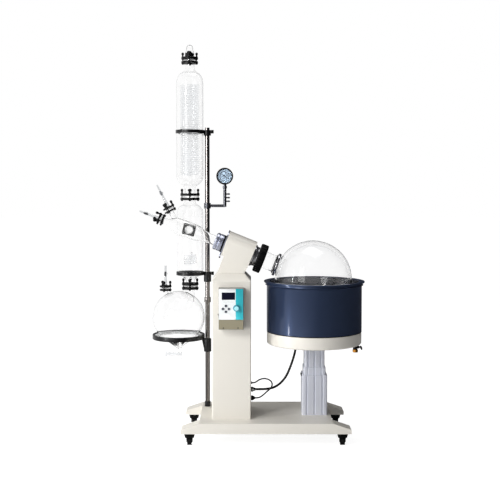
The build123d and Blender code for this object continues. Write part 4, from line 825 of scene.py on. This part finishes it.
white = panel("panel_face", rectangle(-194, 744, WHITE_END, 924, 5), white_panel)
window = slab("cutter", rectangle(-177, 860, -99, 903), (0, PANEL_Y + 2, 0), FRONT_X, FRONT_Z,
              10, white_panel, None)
knob_hole = post(KNOB, FRONT, 240, 256, 4.1, 32)
holes = [post(Vector((x, 0, z)), FRONT, 240, 256, 7.4, 32)
         for x, z in ((-152.7, 824), (-152.7, 790), (-170, 807), (-135.4, 807))]
carve(white, (), [window, *holes])
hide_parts("control_panel")
teal = panel("panel_strip", rectangle(WHITE_END, 744, -52, 924, 3), teal_panel)
carve(teal, (), [knob_hole])
panel("display", rectangle(-176.7, 860.3, -99.3, 902.7, 1), screen, 2.9)
panel("display_line", rectangle(-168, 846.5, -108, 848), display_line, 0.2, PANEL_DEPTH, 0)
panel("cover", rectangle(-194, 687, -52, 742, 2), olive_cover)
for x in (-167, -82):
    lathe("cover_screw", soften([(0, 0), (0, 3.6), (1, 3.6), (1.4, 2.4), (1.4, 0)], 0.4, 2),
          Vector((x, PANEL_Y - PANEL_DEPTH, 695)), FRONT, black, segments=32, closed=False)
lathe("knob_cap", soften([(17.2, 0), (17.2, 13.5), (18.2, 13), (18.2, 0)], 0.5, 2),
      KNOB + FRONT * 250.2, FRONT, knob_cyan, "speed_dial", segments=64,
      closed=False)

# Boots and a gland where the cables enter the column
for name, y, z, radius in (("thick", 0, 282, 7.6), ("thin", -16, 232, 5)):
    lathe(f"{name}_boot", soften([(0.2, 0), (0.2, 14), (3, 15), (12, 15), (15, 12),
                                  (24, radius + 1.5), (26.8, radius), (26.8, 0)], 1.2, 3),
          Vector((-6, y, z)), (1, 0, 0), black, segments=48, closed=False)
# A white disc on the front of the thick boot
lathe("boot_white_disc", soften([(13, 0), (13, 7), (16.6, 6.4), (16.6, 0)], 0.6, 2),
      Vector((6, 0, 282)), FRONT, white_panel, segments=32, closed=False)
lathe("thin_gland", soften([(0.2, 0), (0.2, 8), (4, 8), (5, 6.5), (9.8, 5), (9.8, 0)], 0.6, 2),
      Vector((-6, -16, 325)), (1, 0, 0), black, segments=48, closed=False)
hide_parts("cable_plugs")

# Floor, backdrop light and lamps
def light_path(tree):
    """The light path, and a value of 1 for rays that see the backdrop as it is."""
    rays = tree.nodes.new("ShaderNodeLightPath")
    seen = tree.nodes.new("ShaderNodeMath")
    seen.operation = "MAXIMUM"
    tree.links.new(rays.outputs["Is Camera Ray"], seen.inputs[0])
    tree.links.new(rays.outputs["Is Transmission Ray"], seen.inputs[1])
    return rays, seen


floor_mesh = bpy.data.meshes.new("floor")
floor_mesh.from_pydata([(-30, -12, 0), (30, -12, 0), (30, 40, 0), (-30, 40, 0)], [],
                       [(0, 1, 2, 3)])
floor = bpy.data.objects.new("floor", floor_mesh)
scene.collection.objects.link(floor)
paper = bpy.data.materials.new("paper")
paper.use_nodes = True
tree = paper.node_tree
tree.nodes.clear()
output = tree.nodes.new("ShaderNodeOutputMaterial")
diffuse = tree.nodes.new("ShaderNodeBsdfDiffuse")
diffuse.inputs["Color"].default_value = (0.9, 0.9, 0.9, 1)
glow = tree.nodes.new("ShaderNodeEmission")
glow.inputs["Color"].default_value = (1, 1, 1, 1)
blend = tree.nodes.new("ShaderNodeMixShader")
rays, seen = light_path(tree)
where = tree.nodes.new("ShaderNodeNewGeometry")
split = tree.nodes.new("ShaderNodeSeparateXYZ")
tree.links.new(where.outputs["Position"], split.inputs[0])
card = tree.nodes.new("ShaderNodeMapRange")      # what metal sees: white at the left
for name, value in (("From Min", -2.4), ("From Max", 0.6), ("To Min", 1.1), ("To Max", 0.1)):
    card.inputs[name].default_value = value
tree.links.new(split.outputs["X"], card.inputs["Value"])
strength, share = tree.nodes.new("ShaderNodeMix"), tree.nodes.new("ShaderNodeMix")
GLOW, GLOW_SHARE = 1.77, 0.5         # what the camera sees: glow over the floor's own shade
strength.inputs[3].default_value = GLOW
share.inputs[3].default_value = GLOW_SHARE
tree.links.new(card.outputs["Result"], strength.inputs[2])
tree.links.new(rays.outputs["Is Glossy Ray"], share.inputs[2])
for mix in (strength, share):
    tree.links.new(seen.outputs[0], mix.inputs[0])
tree.links.new(strength.outputs[0], glow.inputs["Strength"])
tree.links.new(share.outputs[0], blend.inputs["Fac"])
tree.links.new(diffuse.outputs[0], blend.inputs[1])
tree.links.new(glow.outputs[0], blend.inputs[2])
tree.links.new(blend.outputs[0], output.inputs["Surface"])
floor_mesh.materials.append(paper)

world = bpy.data.worlds.new("studio")
scene.world = world
world.use_nodes = True
tree = world.node_tree
tree.nodes.clear()
output = tree.nodes.new("ShaderNodeOutputWorld")
lit = tree.nodes.new("ShaderNodeBackground")
level = tree.nodes.new("ShaderNodeMath")
level.operation = "MULTIPLY_ADD"
level.inputs[1].default_value = 0.2     # added where metal sees it
level.inputs[2].default_value = 0.8
tree.links.new(level.outputs[0], lit.inputs["Strength"])
white_back = tree.nodes.new("ShaderNodeBackground")
white_back.inputs["Color"].default_value = (1, 1, 1, 1)
white_back.inputs["Strength"].default_value = 1.0
place = tree.nodes.new("ShaderNodeTexCoord")
split = tree.nodes.new("ShaderNodeSeparateXYZ")
tree.links.new(place.outputs["Generated"], split.inputs[0])
ramp = tree.nodes.new("ShaderNodeValToRGB")
ramp.color_ramp.elements[0].position = 0.24
ramp.color_ramp.elements[0].color = (1.0, 1.0, 1.0, 1)
ramp.color_ramp.elements[1].position = 0.52
ramp.color_ramp.elements[1].color = (0.06, 0.06, 0.065, 1)
slide = tree.nodes.new("ShaderNodeMapRange")
slide.inputs["From Min"].default_value = -1
tree.links.new(split.outputs["X"], slide.inputs["Value"])
tree.links.new(slide.outputs["Result"], ramp.inputs["Fac"])
tree.links.new(ramp.outputs["Color"], lit.inputs["Color"])
mixed = tree.nodes.new("ShaderNodeMixShader")
rays, seen = light_path(tree)
tree.links.new(rays.outputs["Is Glossy Ray"], level.inputs[0])
tree.links.new(seen.outputs[0], mixed.inputs["Fac"])
tree.links.new(lit.outputs[0], mixed.inputs[1])
tree.links.new(white_back.outputs[0], mixed.inputs[2])
tree.links.new(mixed.outputs[0], output.inputs["Surface"])


def lamp(name, place, aim, size, watts):
    """An oblong area lamp, in metres."""
    light = bpy.data.lights.new(name, "AREA")
    light.shape = "RECTANGLE"
    light.size, light.size_y = size
    light.energy = watts
    holder = bpy.data.objects.new(name, light)
    scene.collection.objects.link(holder)
    holder.location = place
    holder.rotation_euler = (Vector(aim) - Vector(place)).to_track_quat("-Z", "Y").to_euler()


lamp("key", (-2.6, -3.4, 3.0), (0, 0, 1.1), (0.9, 1.2), 72)
lamp("top", (0.3, 0.2, 4.2), (0.1, 0, 0), (2.2, 1.6), 36)
lamp("front", (-3.0, -4.2, 1.5), (0, 0, 1.0), (2.0, 2.0), 44)
lamp("strip", (-2.55, -1.4, 1.05), (0.2, -0.24, 0.95), (0.14, 2.1), 34)
